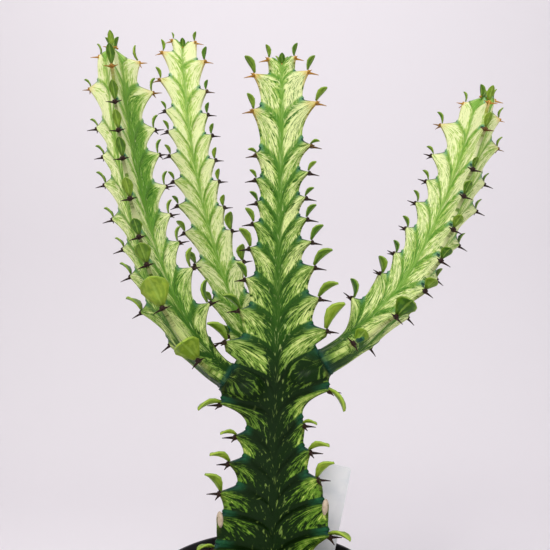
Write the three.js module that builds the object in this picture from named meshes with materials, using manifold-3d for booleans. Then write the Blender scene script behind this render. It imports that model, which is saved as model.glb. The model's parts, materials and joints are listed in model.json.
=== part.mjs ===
// A potted variegated African milk tree: a three-ribbed succulent stem with three side branches, grown in a
// round plastic nursery pot. Every rib is a row of teeth. Each tooth ends in an areole, which carries a pair
// of spines and one small leaf. Millimetres, +Z up, origin at the centre of the pot's flat underside.
import * as THREE from 'three';
import { mergeVertices } from 'three/addons/utils/BufferGeometryUtils.js';
import Module from 'manifold-3d';

const wasm = await Module();
wasm.setup();

// The pot, its soil and the label
const rimRadius = 60;
const potHeight = 100;
const footRadius = 43;
const potWall = 1.6;
const rimBandHeight = 13;
const rimBandStep = 2.4;
const potSides = 36;
const drainHoles = 6;
const drainRadius = 4;
const drainRing = 29;
const soilTop = 88;
const soilMound = 1.5;
const seatGap = 0.35;
const labelSize = { width: 18, length: 90, thickness: 0.9 };
const labelFoot = new THREE.Vector3(21.3, 24, 60);
const labelLean = THREE.MathUtils.degToRad(11.7);

// How the ribs are shaped, shared by all four stems. Each stem also lists how far its ribs have turned round
// it, in degrees, at even steps from its foot to its tip.
const flankSteps = [0.64];
const notchRise = 0.3;
const grooveDepth = 0.5;
const flankSwell = 0.5;
const faceStep = 0.5;
const flowLag = 1.1;
const lagRun = 30;

// Each tooth is [height of its areole along the stem, reach of the areole from the stem's axis,
// reach of the notch above it, leaf length, rise of the leaf above the rib's outward direction in degrees].
// A leaf length of 0 is a scar or a place where a branch grows.
const mainStem = {
  name: 'main_stem',
  foot: [4, 0, 64],
  path: [[0, 0, 0], [0, 0, 116], [5, 0, 206], [5.5, 0, 309]],
  plainLength: 26,
  plainReach: 20,
  valley: [10.5, 5.5],
  edge: [2.4, 1.3],
  scoop: 2.4,
  leafWidth: [0.27, 0.24],
  spineLength: [6.5, 4.5],
  turns: [0, 0],
  ribs: [
    { angle: 210, teeth: [
      [34, 28, 20, 13, 30], [57, 34, 31, 10, 10], [72, 31, 27.5, 0, 0], [84, 31, 20, 14, 55],
      [98, 26.5, 17, 13, 30], [111, 23, 15.5, 10, 15], [128, 32, 30, 14, -5], [143, 30.5, 28, 0, 0],
      [159, 30, 19, 15, 45], [175, 23, 15.5, 13, 40], [191, 20, 13, 10, 60], [207, 18, 12, 12, 60],
      [220, 16.5, 11, 9, 60], [231, 14.5, 11, 7, 50], [243, 15.5, 11, 6, 50], [256, 15.5, 12, 6, 20],
      [279, 18, 12, 9, 70], [298, 17.5, 7, 10.5, 60], [308, 9, 5, 8, 80]] },
    { angle: 330, teeth: [
      [40, 27, 20, 14, 30], [64, 33, 31, 13, 5], [79, 31, 28, 0, 0], [91, 26, 19, 14, 50],
      [104, 21.5, 16.5, 13, 25], [117, 17.5, 15.5, 9, 10], [136, 31.5, 30, 15, -40], [151, 28, 27, 0, 0],
      [166, 29.5, 20, 18, 60], [182, 25, 17, 14, 40], [198, 22, 13, 14, 45], [211, 20, 12, 11, 55],
      [223, 17, 11, 9, 55], [234, 16, 10.5, 7, 45], [247, 17.5, 10.5, 7, 50], [261, 18.5, 12, 6, 15],
      [283, 21.5, 12, 9.5, 50], [300, 16.5, 7, 9.5, 65], [309, 8.5, 5, 8, 80]] },
    { angle: 90, teeth: [
      [46, 28, 20, 12, 30], [68, 32, 22, 13, 30], [82, 30, 20, 12, 40], [94, 27, 18, 13, 45],
      [107, 23, 17, 12, 30], [122, 27, 24, 13, 10], [139, 26, 23, 0, 0], [157, 26, 18, 14, 50],
      [171, 24, 16, 13, 50], [184, 22, 14, 12, 55], [197, 20, 13, 11, 55], [209, 18, 12, 10, 60],
      [220, 17, 11, 9, 60], [231, 16, 11, 8, 60], [244, 16.5, 11, 7, 50], [258, 17, 11.5, 7, 40],
      [274, 18, 12, 8, 55], [292, 17, 8, 9, 65], [305, 11, 5, 8, 75]] },
  ],
};

const leftBranch = {
  name: 'left_branch',
  foot: [-19, -14, 206],
  path: [[0, 0, 0], [-33, -1, 20], [-51, 0, 90], [-59, 2, 171]],
  plainLength: 4,
  plainReach: 6.6,
  valley: [5.6, 4.6],
  edge: [1.6, 1.2],
  scoop: 1.7,
  leafWidth: [0.38, 0.22],
  spineLength: [5, 4],
  turns: [0, 15],
  ribs: [
    { angle: 24, teeth: [
      [16, 8, 8.5, 0, 0], [38, 20, 12, 13, 75], [61, 19.5, 11, 11, 75], [77, 17.5, 10.5, 8.5, 70],
      [93, 17, 10.5, 8, 70], [109, 18.5, 11, 8, 75], [127, 18.5, 11, 8, 75], [141, 18.5, 11, 8, 70],
      [162, 20.5, 11, 8, 75], [178, 14.5, 6, 8.5, 110]] },
    { angle: 264, teeth: [
      [16, 12, 9.5, 16, 45], [46, 18, 12, 17, 70], [68, 17, 11, 11, 70], [82, 16.5, 10.5, 9, 70],
      [101, 17, 10.5, 10, 75], [121, 17, 11, 10, 75], [135, 17, 11, 9.5, 75], [149, 17.5, 11, 10, 75],
      [167, 17, 10, 10.5, 75], [179, 11, 6, 8, 85]] },
    { angle: 144, teeth: [
      [30, 13, 10.5, 0, 0], [50, 20, 12, 12, 50], [68, 17.5, 11, 9.5, 55], [82, 16.5, 10.5, 7.5, 55],
      [98, 18, 11, 8, 50], [116, 18, 11, 8.5, 55], [130, 15.5, 10.5, 7.5, 50], [145, 16.5, 10.5, 6.5, 45],
      [166, 17.5, 10.5, 7.5, 50], [181, 9, 6, 7, 80]] },
  ],
};

const backBranch = {
  name: 'back_branch',
  foot: [3, 25, 203],
  path: [[0, 0, 0], [-21, 11, 27], [-49, 12, 102], [-52, 11, 194]],
  plainLength: 4,
  plainReach: 6.4,
  valley: [5.2, 4.2],
  edge: [1.5, 1.1],
  scoop: 1.7,
  leafWidth: [0.3, 0.22],
  spineLength: [5, 4],
  turns: [0, 0],
  ribs: [
    { angle: 210, teeth: [
      [29, 12, 9, 8, 50], [50, 14, 9.5, 8, 50], [73, 16, 10, 9, 60], [92, 17, 10, 8, 60],
      [108, 17, 10, 6, 60], [122, 16.5, 10, 6, 60], [137, 16, 9.5, 6.5, 65], [151, 15, 9.5, 6.5, 65],
      [163, 15, 9, 5.5, 60], [181, 16.5, 9, 7, 70], [197, 14, 6, 7, 90], [205, 7.5, 4.5, 6, 85]] },
    { angle: 330, teeth: [
      [24, 12, 9, 8, 50], [45, 15, 10, 9, 60], [66, 16.5, 10, 10, 75], [86, 15, 9.5, 11, 80],
      [101, 14, 9, 7, 75], [117, 14.5, 9, 7, 75], [130, 15, 9.5, 7, 75], [145, 15.5, 9.5, 6.5, 70],
      [158, 14.5, 9, 6.5, 75], [172, 15.5, 9.5, 6, 75], [190, 16, 9, 8, 80], [203, 9.5, 5, 7, 80]] },
    { angle: 90, teeth: [
      [18, 9, 8.5, 0, 0], [38, 14, 9.5, 8, 50], [60, 16, 10, 9, 60], [80, 16, 10, 9, 60],
      [97, 15.5, 10, 8, 65], [111, 15.5, 9.5, 7, 65], [126, 15.5, 9.5, 7, 65], [140, 15, 9.5, 6.5, 65],
      [153, 15, 9.5, 6.5, 65], [167, 15.5, 9.5, 6, 65], [184, 15.5, 8.5, 7, 75], [200, 11, 5, 7, 80]] },
  ],
};

const rightBranch = {
  name: 'right_branch',
  foot: [31, -14, 213.5],
  path: [[0, 0, 0], [29, 0, 15.5], [64, 3, 52.5], [84, 5, 139]],
  plainLength: 12,
  plainReach: 6.4,
  valley: [5.8, 4.6],
  edge: [1.6, 1.2],
  scoop: 1.7,
  leafWidth: [0.4, 0.24],
  spineLength: [5, 4],
  turns: [-20, 18, -2, -2],
  ribs: [
    { angle: 32, teeth: [
      [23, 9, 8.5, 0, 0], [47, 17, 11.5, 6, 70], [71, 19, 11.5, 6, 85], [91, 19, 11.5, 7, 80],
      [110, 18.5, 12, 6.5, 80], [124, 17, 11.5, 6, 75], [144, 19, 11, 7, 75], [158, 15, 7, 8, 80],
      [166, 8, 5, 6, 85]] },
    { angle: 272, teeth: [
      [17, 9, 8.5, 9, 65], [40, 16, 12, 13, 45], [58, 17.5, 11.5, 8, 45], [74, 18, 11.5, 8, 45],
      [90, 18, 11.5, 8, 50], [107, 18, 11.5, 8, 50], [121, 18, 11.5, 6, 50], [142, 18, 10.5, 8, 60],
      [158, 12, 6, 8, 75]] },
    { angle: 152, teeth: [
      [34, 19, 13, 11, 45], [55, 15, 11, 9.5, 50], [69, 15, 11, 7, 55], [85, 16.5, 11.5, 7, 45],
      [101, 18, 12, 7, 55], [115, 17.5, 11.5, 6.5, 45], [130, 19.5, 11.5, 6, 35], [148, 19.5, 10, 7.5, 60],
      [161, 10, 6, 6, 75]] },
  ],
};
const branches = [leftBranch, backBranch, rightBranch];

// A branch grows from a short stub on the main stem, and starts just clear of the stub's flat end.
const stub = { rise: 14, overrun: 5, seatRadius: 7.2, rootRadius: 9, sides: 14 };
const seatCut = { radius: 10.2, length: 9 };

// The blade of a leaf: share of its length, and half width there as a share of its widest half width
const bladeStations = [[0, 0.25], [0.55, 1], [0.88, 0.78]];
const bladeKeel = 0.9;
const bladeFold = 0.25;
const bladeRecurve = THREE.MathUtils.degToRad(35);
const leafRoot = 2;

// Where the leaf and the spines stand on a tooth: back from the areole towards the stem, and up from it
const leafSeat = { back: 1.6, up: 0.8 };
const spineSeat = { back: 1.65, up: -1.7 };
const spineRadius = 0.7;
const spineRoot = 1.2;

const vector = (xyz) => new THREE.Vector3(...xyz);
const mix = THREE.MathUtils.lerp;

function toSolid(geometry) {
  const bare = geometry.clone();
  bare.deleteAttribute('normal');
  bare.deleteAttribute('uv');
  const merged = mergeVertices(bare, 1e-4);
  return new wasm.Manifold(new wasm.Mesh({
    numProp: 3,
    vertProperties: Float32Array.from(merged.attributes.position.array),
    triVerts: Uint32Array.from(merged.index.array),
  }));
}

function toGeometry(solid) {
  const { vertProperties, triVerts, numProp } = solid.getMesh();
  const positions = new Float32Array((vertProperties.length / numProp) * 3);
  for (let i = 0; i < positions.length / 3; i += 1) {
    for (let axis = 0; axis < 3; axis += 1) positions[3 * i + axis] = vertProperties[numProp * i + axis];
  }
  const geometry = new THREE.BufferGeometry();
  geometry.setAttribute('position', new THREE.BufferAttribute(positions, 3));
  geometry.setIndex(new THREE.BufferAttribute(Uint32Array.from(triVerts), 1));
  geometry.computeVertexNormals();
  return geometry;
}

// Turns a geometry whose length runs along +Y so that it runs along direction, from start.
function aim(geometry, start, direction) {
  const turn = new THREE.Quaternion().setFromUnitVectors(new THREE.Vector3(0, 1, 0), direction);
  return geometry.applyQuaternion(turn).translate(start.x, start.y, start.z);
}

function stemCurve(stem) {
  const curve = new THREE.CubicBezierCurve3(...stem.path.map(vector));
  curve.arcLengthDivisions = 400;
  return curve;
}

// Where the stem's axis is at a height along it, with the directions that its section is drawn in:
// away points to the back of the plant and right lies across it, both square to the stem.
function stemFrame(curve, height) {
  const share = THREE.MathUtils.clamp(height / curve.getLength(), 0, 1);
  const centre = curve.getPointAt(share);
  const up = curve.getTangentAt(share);
  const away = new THREE.Vector3(0, 1, 0).addScaledVector(up, -up.y).normalize();
  const right = new THREE.Vector3().crossVectors(away, up);
  centre.addScaledVector(up, Math.max(0, height - curve.getLength()));
  return { centre, up, away, right, share };
}

// The sideways direction at an angle round the stem, with the turn that the ribs have grown by there
function direction(stem, frame, angle) {
  const step = frame.share * (stem.turns.length - 1);
  const below = Math.min(Math.floor(step), stem.turns.length - 2);
  const grown = mix(stem.turns[below], stem.turns[below + 1], step - below);
  const turn = THREE.MathUtils.degToRad(angle + grown);
  return new THREE.Vector3()
    .addScaledVector(frame.right, Math.cos(turn))
    .addScaledVector(frame.away, Math.sin(turn));
}

// The rows of one rib from the foot to the tip. Every rib of a stem has the same number of rows.
function ribRows(stem, rib) {
  const rows = [
    { height: 0, reach: stem.plainReach, relief: 0 },
    { height: stem.plainLength, reach: stem.plainReach, relief: 0 },
  ];
  let notch = { height: stem.plainLength, reach: stem.plainReach };
  for (const [height, reach, notchReach] of rib.teeth) {
    for (const step of flankSteps) {
      rows.push({
        height: mix(notch.height, height, step),
        reach: mix(notch.reach, reach, step ** stem.scoop),
        relief: flankSwell,
      });
    }
    rows.push({ height, reach, relief: 0 });
    const next = rib.teeth.find((tooth) => tooth[0] > height);
    const gap = next ? next[0] - height : 4;
    notch = { height: height + notchRise * gap, reach: notchReach };
    rows.push({ ...notch, relief: -grooveDepth });
  }
  return rows;
}

// A point of the stem's skin. across runs from 0 at the rib's edge to 1 in the valley beside it, and the
// rows sink towards the valley, because each tooth runs down into it along a slanting fold.
function skinPoint(stem, curve, rib, side, across, row, neighbourRow) {
  const length = curve.getLength();
  const sinking = THREE.MathUtils.clamp((row.height - stem.plainLength) / lagRun, 0, 1)
    * THREE.MathUtils.clamp((length - row.height) / lagRun, 0, 1);
  const pitch = length / rib.teeth.length;
  const valleyHeight = (row.height + neighbourRow.height) / 2 - flowLag * pitch * sinking;
  const height = mix(row.height, valleyHeight, 1 - Math.sqrt(1 - across));
  const share = THREE.MathUtils.clamp(height / length, 0, 1);
  const valleyRadius = mix(...stem.valley, share);
  const edge = mix(...stem.edge, share);
  const from = new THREE.Vector2(row.reach, edge);
  const bend = new THREE.Vector2(valleyRadius * 1.3, Math.max(valleyRadius * 0.5, edge));
  const to = new THREE.Vector2(valleyRadius * Math.cos(Math.PI / 3), valleyRadius * Math.sin(Math.PI / 3));
  const section = new THREE.QuadraticBezierCurve(from, bend, to);
  const point = section.getPoint(across);
  const slope = section.getTangent(across);
  const relief = row.relief * Math.sin(Math.PI * across) * sinking;
  point.x += -slope.y * -relief;
  point.y += -slope.x * relief;
  const frame = stemFrame(curve, height);
  return frame.centre
    .addScaledVector(direction(stem, frame, rib.angle), point.x)
    .addScaledVector(direction(stem, frame, rib.angle + 90), side * point.y);
}

// The closed skin of a stem, as a grid of rows and columns with a flat foot and a pointed tip.
function stemSkin(stem, curve) {
  const ribs = [...stem.ribs].sort((a, b) => a.angle - b.angle);
  const rowsOf = ribs.map((rib) => ribRows(stem, rib));
  const rowCount = rowsOf[0].length;
  const positions = [];
  for (let r = 0; r < rowCount; r += 1) {
    ribs.forEach((rib, k) => {
      const before = rowsOf[(k + ribs.length - 1) % ribs.length][r];
      const after = rowsOf[(k + 1) % ribs.length][r];
      const row = rowsOf[k][r];
      const columns = [
        [-1, faceStep, before], [-1, 0, before], [1, 0, after], [1, faceStep, after], [1, 1, after]];
      for (const [side, across, neighbour] of columns) {
        positions.push(...skinPoint(stem, curve, rib, side, across, row, neighbour).toArray());
      }
    });
  }
  const columnCount = positions.length / 3 / rowCount;
  const foot = positions.length / 3;
  positions.push(...stemFrame(curve, 0).centre.toArray());
  const tip = foot + 1;
  positions.push(...stemFrame(curve, curve.getLength()).centre.toArray());
  const index = [];
  const last = (rowCount - 1) * columnCount;
  for (let c = 0; c < columnCount; c += 1) {
    const next = (c + 1) % columnCount;
    index.push(foot, next, c);
    index.push(tip, last + c, last + next);
    for (let r = 0; r < rowCount - 1; r += 1) {
      const low = r * columnCount;
      const high = low + columnCount;
      index.push(low + c, low + next, high + next);
      index.push(low + c, high + next, high + c);
    }
  }
  const geometry = new THREE.BufferGeometry();
  geometry.setAttribute('position', new THREE.Float32BufferAttribute(positions, 3));
  geometry.setIndex(index);
  return geometry;
}

// One leaf: a folded blade that is widest past its middle and curls outwards to its tip.
function leafBlade(start, out, up, length, width, rise) {
  const across = new THREE.Vector3().crossVectors(out, up);
  const positions = [];
  const centre = start.clone();
  let reached = 0;
  const heading = (share) => {
    const angle = THREE.MathUtils.degToRad(rise) + bladeRecurve * (0.3 - share);
    return new THREE.Vector3().addScaledVector(out, Math.cos(angle)).addScaledVector(up, Math.sin(angle));
  };
  centre.addScaledVector(heading(0), -leafRoot);
  for (const [share, halfWidth] of bladeStations) {
    centre.addScaledVector(heading((reached + share) / 2), (share - reached) * length);
    reached = share;
    const along = heading(share);
    const inner = new THREE.Vector3().crossVectors(across, along);
    const half = halfWidth * width * length;
    for (const [sideways, inwards] of [
      [-half, bladeFold * half], [0, -bladeKeel], [half, bladeFold * half]]) {
      positions.push(...centre.clone()
        .addScaledVector(across, sideways)
        .addScaledVector(inner, inwards)
        .toArray());
    }
  }
  centre.addScaledVector(heading(1), (1 - reached) * length);
  positions.push(...centre.toArray());
  const rings = bladeStations.length;
  const tip = rings * 3;
  const index = [0, 1, 2];
  for (let k = 0; k < 3; k += 1) {
    const next = (k + 1) % 3;
    for (let ring = 0; ring < rings - 1; ring += 1) {
      const low = ring * 3;
      index.push(low + k, low + 3 + next, low + next);
      index.push(low + k, low + 3 + k, low + 3 + next);
    }
    index.push(tip - 3 + k, tip, tip - 3 + next);
  }
  const geometry = new THREE.BufferGeometry();
  geometry.setAttribute('position', new THREE.Float32BufferAttribute(positions, 3));
  geometry.setIndex(index);
  return geometry;
}

function spine(start, heading, length) {
  const cone = new THREE.ConeGeometry(spineRadius, length + spineRoot, 3);
  cone.translate(0, (length - spineRoot) / 2, 0);
  return aim(cone, start, heading);
}

// The leaf and the two spines of every tooth that has a leaf
function toothGrowth(stem, curve) {
  const grown = [];
  for (const rib of stem.ribs) {
    for (const [height, reach, , leaf, rise] of rib.teeth) {
      if (leaf === 0) continue;
      const frame = stemFrame(curve, height);
      const out = direction(stem, frame, rib.angle);
      const side = direction(stem, frame, rib.angle + 90);
      const share = height / curve.getLength();
      const areole = frame.centre.clone().addScaledVector(out, reach);
      const onTooth = ({ back, up }) => areole.clone().addScaledVector(out, -back).addScaledVector(frame.up, up);
      grown.push(leafBlade(onTooth(leafSeat), out, frame.up, leaf, mix(...stem.leafWidth, share), rise));
      const spineLength = mix(...stem.spineLength, share);
      for (const turn of [-1, 1]) {
        const heading = out.clone()
          .addScaledVector(side, 0.85 * turn)
          .addScaledVector(frame.up, -0.2)
          .normalize();
        grown.push(spine(onTooth(spineSeat), heading, spineLength));
      }
    }
  }
  return grown;
}

function stemSolid(stem) {
  const curve = stemCurve(stem);
  const pieces = [stemSkin(stem, curve), ...toothGrowth(stem, curve)].map(toSolid);
  return wasm.Manifold.union(pieces);
}

// The stubs that carry the branches, each running out from the stem's axis, and the flat seats cut on them
function withStubs(solid, host) {
  const hostCurve = stemCurve(host);
  let made = solid;
  for (const branch of branches) {
    const heading = stemCurve(branch).getTangentAt(0);
    const seat = vector(branch.foot).sub(vector(host.foot)).addScaledVector(heading, -seatGap);
    const root = stemFrame(hostCurve, seat.z - stub.rise).centre;
    const length = root.distanceTo(seat) + stub.overrun;
    const cone = new THREE.CylinderGeometry(stub.seatRadius, stub.rootRadius, length, stub.sides);
    cone.translate(0, length / 2, 0);
    const cut = new THREE.CylinderGeometry(seatCut.radius, seatCut.radius, seatCut.length, stub.sides);
    cut.translate(0, seatCut.length / 2, 0);
    const outwards = seat.clone().sub(root).normalize();
    made = made.add(toSolid(aim(cone, root, outwards))).subtract(toSolid(aim(cut, seat, heading)));
  }
  return made;
}

function lathe(points) {
  const profile = points.map(([radius, height]) => new THREE.Vector2(radius, height));
  return new THREE.LatheGeometry(profile, potSides).rotateX(Math.PI / 2);
}

const wallRadius = (height) => mix(footRadius, rimRadius - rimBandStep, height / (potHeight - rimBandHeight));

function potSolid() {
  const bandFoot = potHeight - rimBandHeight;
  const inside = (height) => wallRadius(height) - potWall;
  const shell = lathe([
    [0, 0], [footRadius - 1.5, 0], [footRadius, 1.5], [wallRadius(bandFoot), bandFoot],
    [rimRadius - 0.4, bandFoot + 1], [rimRadius, potHeight - 1.2], [rimRadius - 0.8, potHeight],
    [rimRadius - potWall, potHeight], [rimRadius - potWall - 0.4, bandFoot + 3],
    [inside(bandFoot), bandFoot], [inside(potWall), potWall], [0, potWall]]);
  let made = toSolid(shell);
  for (let k = 0; k < drainHoles; k += 1) {
    const angle = (2 * Math.PI * k) / drainHoles;
    const hole = new THREE.CylinderGeometry(drainRadius, drainRadius, 4 * potWall, 9).rotateX(Math.PI / 2);
    hole.translate(drainRing * Math.cos(angle), drainRing * Math.sin(angle), 0);
    made = made.subtract(toSolid(hole));
  }
  return made;
}

// The outline of the main stem's buried length, grown by the seat gap, for the plain hole in the soil
function stemOutline() {
  const curve = stemCurve(mainStem);
  const level = { height: 0, reach: mainStem.plainReach, relief: 0 };
  const ribs = [...mainStem.ribs].sort((a, b) => a.angle - b.angle);
  const outline = ribs.flatMap((rib) => [[-1, faceStep], [-1, 0], [1, 0], [1, faceStep], [1, 1]]
    .map(([side, across]) => skinPoint(mainStem, curve, rib, side, across, level, level)));
  return outline.map((point) => {
    const grown = 1 + (seatGap + 0.15) / mainStem.valley[0];
    return new THREE.Vector2(point.x * grown, point.y * grown);
  });
}

function soilSolid() {
  const floor = potWall + seatGap;
  const inside = (height) => wallRadius(height) - potWall - seatGap;
  const edgeTop = soilTop - 2;
  const mass = toSolid(lathe([
    [0, floor], [inside(floor), floor], [inside(edgeTop), edgeTop], [inside(edgeTop) - 4, soilTop],
    [30, soilTop + soilMound], [0, soilTop + soilMound]]));
  const hole = new THREE.ExtrudeGeometry(new THREE.Shape(stemOutline()), { depth: 60, bevelEnabled: false });
  hole.translate(mainStem.foot[0], mainStem.foot[1], mainStem.foot[2] - seatGap);
  const slot = labelGeometry(seatGap).applyMatrix4(labelPlace());
  return mass.subtract(toSolid(hole)).subtract(toSolid(slot));
}

function labelGeometry(grow) {
  const { width, length, thickness } = labelSize;
  const box = new THREE.BoxGeometry(width + 2 * grow, thickness + 2 * grow, length + 2 * grow);
  return box.translate(0, 0, length / 2);
}

function labelPlace() {
  const turn = new THREE.Euler(0, labelLean, 0);
  return new THREE.Matrix4().makeRotationFromEuler(turn).setPosition(labelFoot);
}

const skinGreen = new THREE.MeshStandardMaterial({ color: 0x8fb04a, roughness: 0.45 });
const trunkGreen = new THREE.MeshStandardMaterial({ color: 0x2f5a1c, roughness: 0.45 });
const blackPlastic = new THREE.MeshStandardMaterial({ color: 0x161616, roughness: 0.5 });
const pottingMix = new THREE.MeshStandardMaterial({ color: 0x3a2c20, roughness: 0.95 });
const whitePlastic = new THREE.MeshStandardMaterial({ color: 0xeceaf2, roughness: 0.4 });

const plantInPot = new THREE.Group();
function addMesh(name, geometry, material) {
  const mesh = new THREE.Mesh(geometry, material);
  mesh.name = name;
  plantInPot.add(mesh);
  return mesh;
}

addMesh('pot', toGeometry(potSolid()), blackPlastic);
addMesh('soil', toGeometry(soilSolid()), pottingMix);
const label = addMesh('plant_label', labelGeometry(0), whitePlastic);
label.position.copy(labelFoot);
label.rotation.y = labelLean;
const trunk = addMesh(mainStem.name, toGeometry(withStubs(stemSolid(mainStem), mainStem)), trunkGreen);
trunk.position.set(...mainStem.foot);
for (const branch of branches) {
  addMesh(branch.name, toGeometry(stemSolid(branch)), skinGreen).position.set(...branch.foot);
}

export default plantInPot;
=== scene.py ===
# %% [markdown]
# # A potted variegated African milk tree
# The real thing is a succulent with three-ribbed stems. A plain black nursery pot holds it. This lesson loads
# the measured solids, then gives every one of them the surface that the plant, the soil and the plastic have.
# All lengths in Blender are metres, so sizes below are written in millimetres and multiplied by `mm`.

# %% Load the measured solids
import json
import math
import random

import bpy
import numpy as np
from mathutils import Matrix, Vector

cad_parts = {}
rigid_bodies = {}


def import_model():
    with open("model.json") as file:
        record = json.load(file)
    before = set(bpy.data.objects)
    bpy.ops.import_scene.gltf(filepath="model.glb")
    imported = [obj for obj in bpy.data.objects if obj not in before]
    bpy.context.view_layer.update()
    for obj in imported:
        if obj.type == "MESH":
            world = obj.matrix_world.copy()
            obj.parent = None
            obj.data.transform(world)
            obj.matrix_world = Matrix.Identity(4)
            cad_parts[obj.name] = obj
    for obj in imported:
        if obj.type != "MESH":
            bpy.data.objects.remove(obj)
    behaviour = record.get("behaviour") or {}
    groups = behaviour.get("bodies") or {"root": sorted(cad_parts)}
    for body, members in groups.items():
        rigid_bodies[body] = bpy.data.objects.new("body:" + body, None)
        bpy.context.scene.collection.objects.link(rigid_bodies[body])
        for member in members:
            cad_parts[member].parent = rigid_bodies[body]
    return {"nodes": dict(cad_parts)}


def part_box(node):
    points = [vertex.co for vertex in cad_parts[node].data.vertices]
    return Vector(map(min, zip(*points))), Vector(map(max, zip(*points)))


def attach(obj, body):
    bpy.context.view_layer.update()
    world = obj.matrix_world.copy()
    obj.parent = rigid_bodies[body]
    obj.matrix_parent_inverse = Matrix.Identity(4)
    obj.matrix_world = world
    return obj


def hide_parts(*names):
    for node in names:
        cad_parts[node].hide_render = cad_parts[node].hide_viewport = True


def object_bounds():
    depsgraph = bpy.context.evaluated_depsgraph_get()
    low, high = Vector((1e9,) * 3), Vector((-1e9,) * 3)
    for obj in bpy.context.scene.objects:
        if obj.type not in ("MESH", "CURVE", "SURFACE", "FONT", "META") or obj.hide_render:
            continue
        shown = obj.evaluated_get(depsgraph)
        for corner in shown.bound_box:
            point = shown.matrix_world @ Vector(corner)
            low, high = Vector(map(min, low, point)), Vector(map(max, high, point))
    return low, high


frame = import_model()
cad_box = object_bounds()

mm = 0.001
print("solids:", sorted(frame["nodes"]))
print("box in metres:", [[round(v, 4) for v in corner] for corner in cad_box])

# %% [markdown]
# The camera is level with the middle of the plant, close to it and tilted up a little. A real lens draws 600
# pixels of the 550 pixel frame at one metre, which gives the focal length.

# %% Camera
frame_pixels = 550
focal_pixels = 600
sensor_width = 36
eye = Vector((5.8, -318, 248)) * mm
pitch_up = math.radians(1.72)

camera_data = bpy.data.cameras.new("camera")
camera_data.sensor_width = sensor_width
camera_data.lens = sensor_width * focal_pixels / frame_pixels
camera_data.clip_start = 0.01
camera = bpy.data.objects.new("camera", camera_data)
camera.location = eye
camera.rotation_euler = (math.radians(90) + pitch_up, 0, 0)
bpy.context.scene.collection.objects.link(camera)
bpy.context.scene.camera = camera
print("lens:", round(camera_data.lens, 1), "mm")

# %% [markdown]
# Operators act on whatever is selected, and the import left its meshes selected, so `only` selects just what
# is meant. `reshape` runs one operator of edit mode on a whole mesh, as by hand: enter, select all, act, leave.
# `close_up` merges points that meet and turns all normals outwards, which a swept or rolled skin needs.


# %% Helpers for selecting and reshaping
weld_distance = 0.02 * mm


def deselect_all():
    bpy.ops.object.select_all(action="DESELECT")


def only(*objects):
    deselect_all()
    for piece in objects:
        piece.select_set(True)
    bpy.context.view_layer.objects.active = objects[0]


def reshape(piece, operator, **values):
    only(piece)
    bpy.ops.object.mode_set(mode="EDIT")
    bpy.ops.mesh.select_all(action="SELECT")
    operator(**values)
    bpy.ops.object.mode_set(mode="OBJECT")


def face_outwards(piece):
    reshape(piece, bpy.ops.mesh.normals_make_consistent, inside=False)


def close_up(piece):
    reshape(piece, bpy.ops.mesh.remove_doubles, threshold=weld_distance)
    face_outwards(piece)


def drawn_line(name, points):
    """A line through the points, ready to be swept or spun into a surface."""
    bpy.ops.mesh.primitive_plane_add(size=1, location=(0, 0, 0))
    line = bpy.context.object
    line.name = name
    line.data.clear_geometry()
    line.data.from_pydata(points, [(i, i + 1) for i in range(len(points) - 1)], [])
    return line


deselect_all()
print("points closer than", weld_distance / mm, "mm are merged")

# %% [markdown]
# Colours are written as the six digits that a colour picker shows. The shader works in linear light, so
# `colour` converts them. A new material starts with a shader of its own, and `nodes`, `links` and `shader`
# always belong to the material at hand.


# %% Helpers for materials
def new_material(name, roughness=0.5):
    material = bpy.data.materials.new(name)
    material.use_nodes = True
    shader = material.node_tree.nodes["Principled BSDF"]
    shader.inputs["Roughness"].default_value = roughness
    return material, material.node_tree.nodes, material.node_tree.links, shader


def colour(hex_code):
    channels = [int(hex_code[i:i + 2], 16) / 255 for i in (0, 2, 4)]
    linear = [c / 12.92 if c <= 0.04045 else ((c + 0.055) / 1.055) ** 2.4 for c in channels]
    return (*linear, 1)


print("a leaf green in linear light:", [round(c, 3) for c in colour("8fb04a")])

# %% [markdown]
# The plant stands on a pale floor that curves up into a pale wall, as in a studio cove, so no line shows
# behind it. The profile of the cove is drawn as a line and swept sideways with extrude.

# %% Floor and backdrop
cove_front = -1.2
cove_back = 0.75
cove_height = 1.6
cove_radius = 0.35
cove_width = 3.2
cove_arc_points = 10

profile = [(cove_front, 0.0), (cove_back - cove_radius, 0.0)]
for k in range(1, cove_arc_points + 1):
    turn = math.pi / 2 * k / cove_arc_points
    profile.append((cove_back - cove_radius * (1 - math.sin(turn)), cove_radius * (1 - math.cos(turn))))
profile.append((cove_back, cove_height))
cove = drawn_line("cove", [(-cove_width / 2, y, z) for y, z in profile])
reshape(cove, bpy.ops.mesh.extrude_region_move, TRANSFORM_OT_translate={"value": (cove_width, 0, 0)})
face_outwards(cove)
bpy.ops.object.shade_smooth()

cove_paint, nodes, links, shader = new_material("cove_paint", roughness=0.9)
shader.inputs["Base Color"].default_value = colour("e6e2e6")
cove.data.materials.append(cove_paint)
print("cove faces:", len(cove.data.polygons))

# %% [markdown]
# The plant is seen in the soft light of an overcast day. A wide lamp stands in front and above, a weaker one
# fills from the right, a third lights the plant from low in front, where the notches would else be black, and a
# fourth lifts the wall. A pale world lights the rest. The standard view keeps the yellow greens vivid.


# %% Light
def soft_lamp(name, place, target, size, watts, tint):
    data = bpy.data.lights.new(name, "AREA")
    data.size = size
    data.energy = watts
    data.color = tint
    lamp = bpy.data.objects.new(name, data)
    lamp.location = place
    lamp.rotation_euler = (Vector(target) - Vector(place)).to_track_quat("-Z", "Y").to_euler()
    bpy.context.scene.collection.objects.link(lamp)


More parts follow.
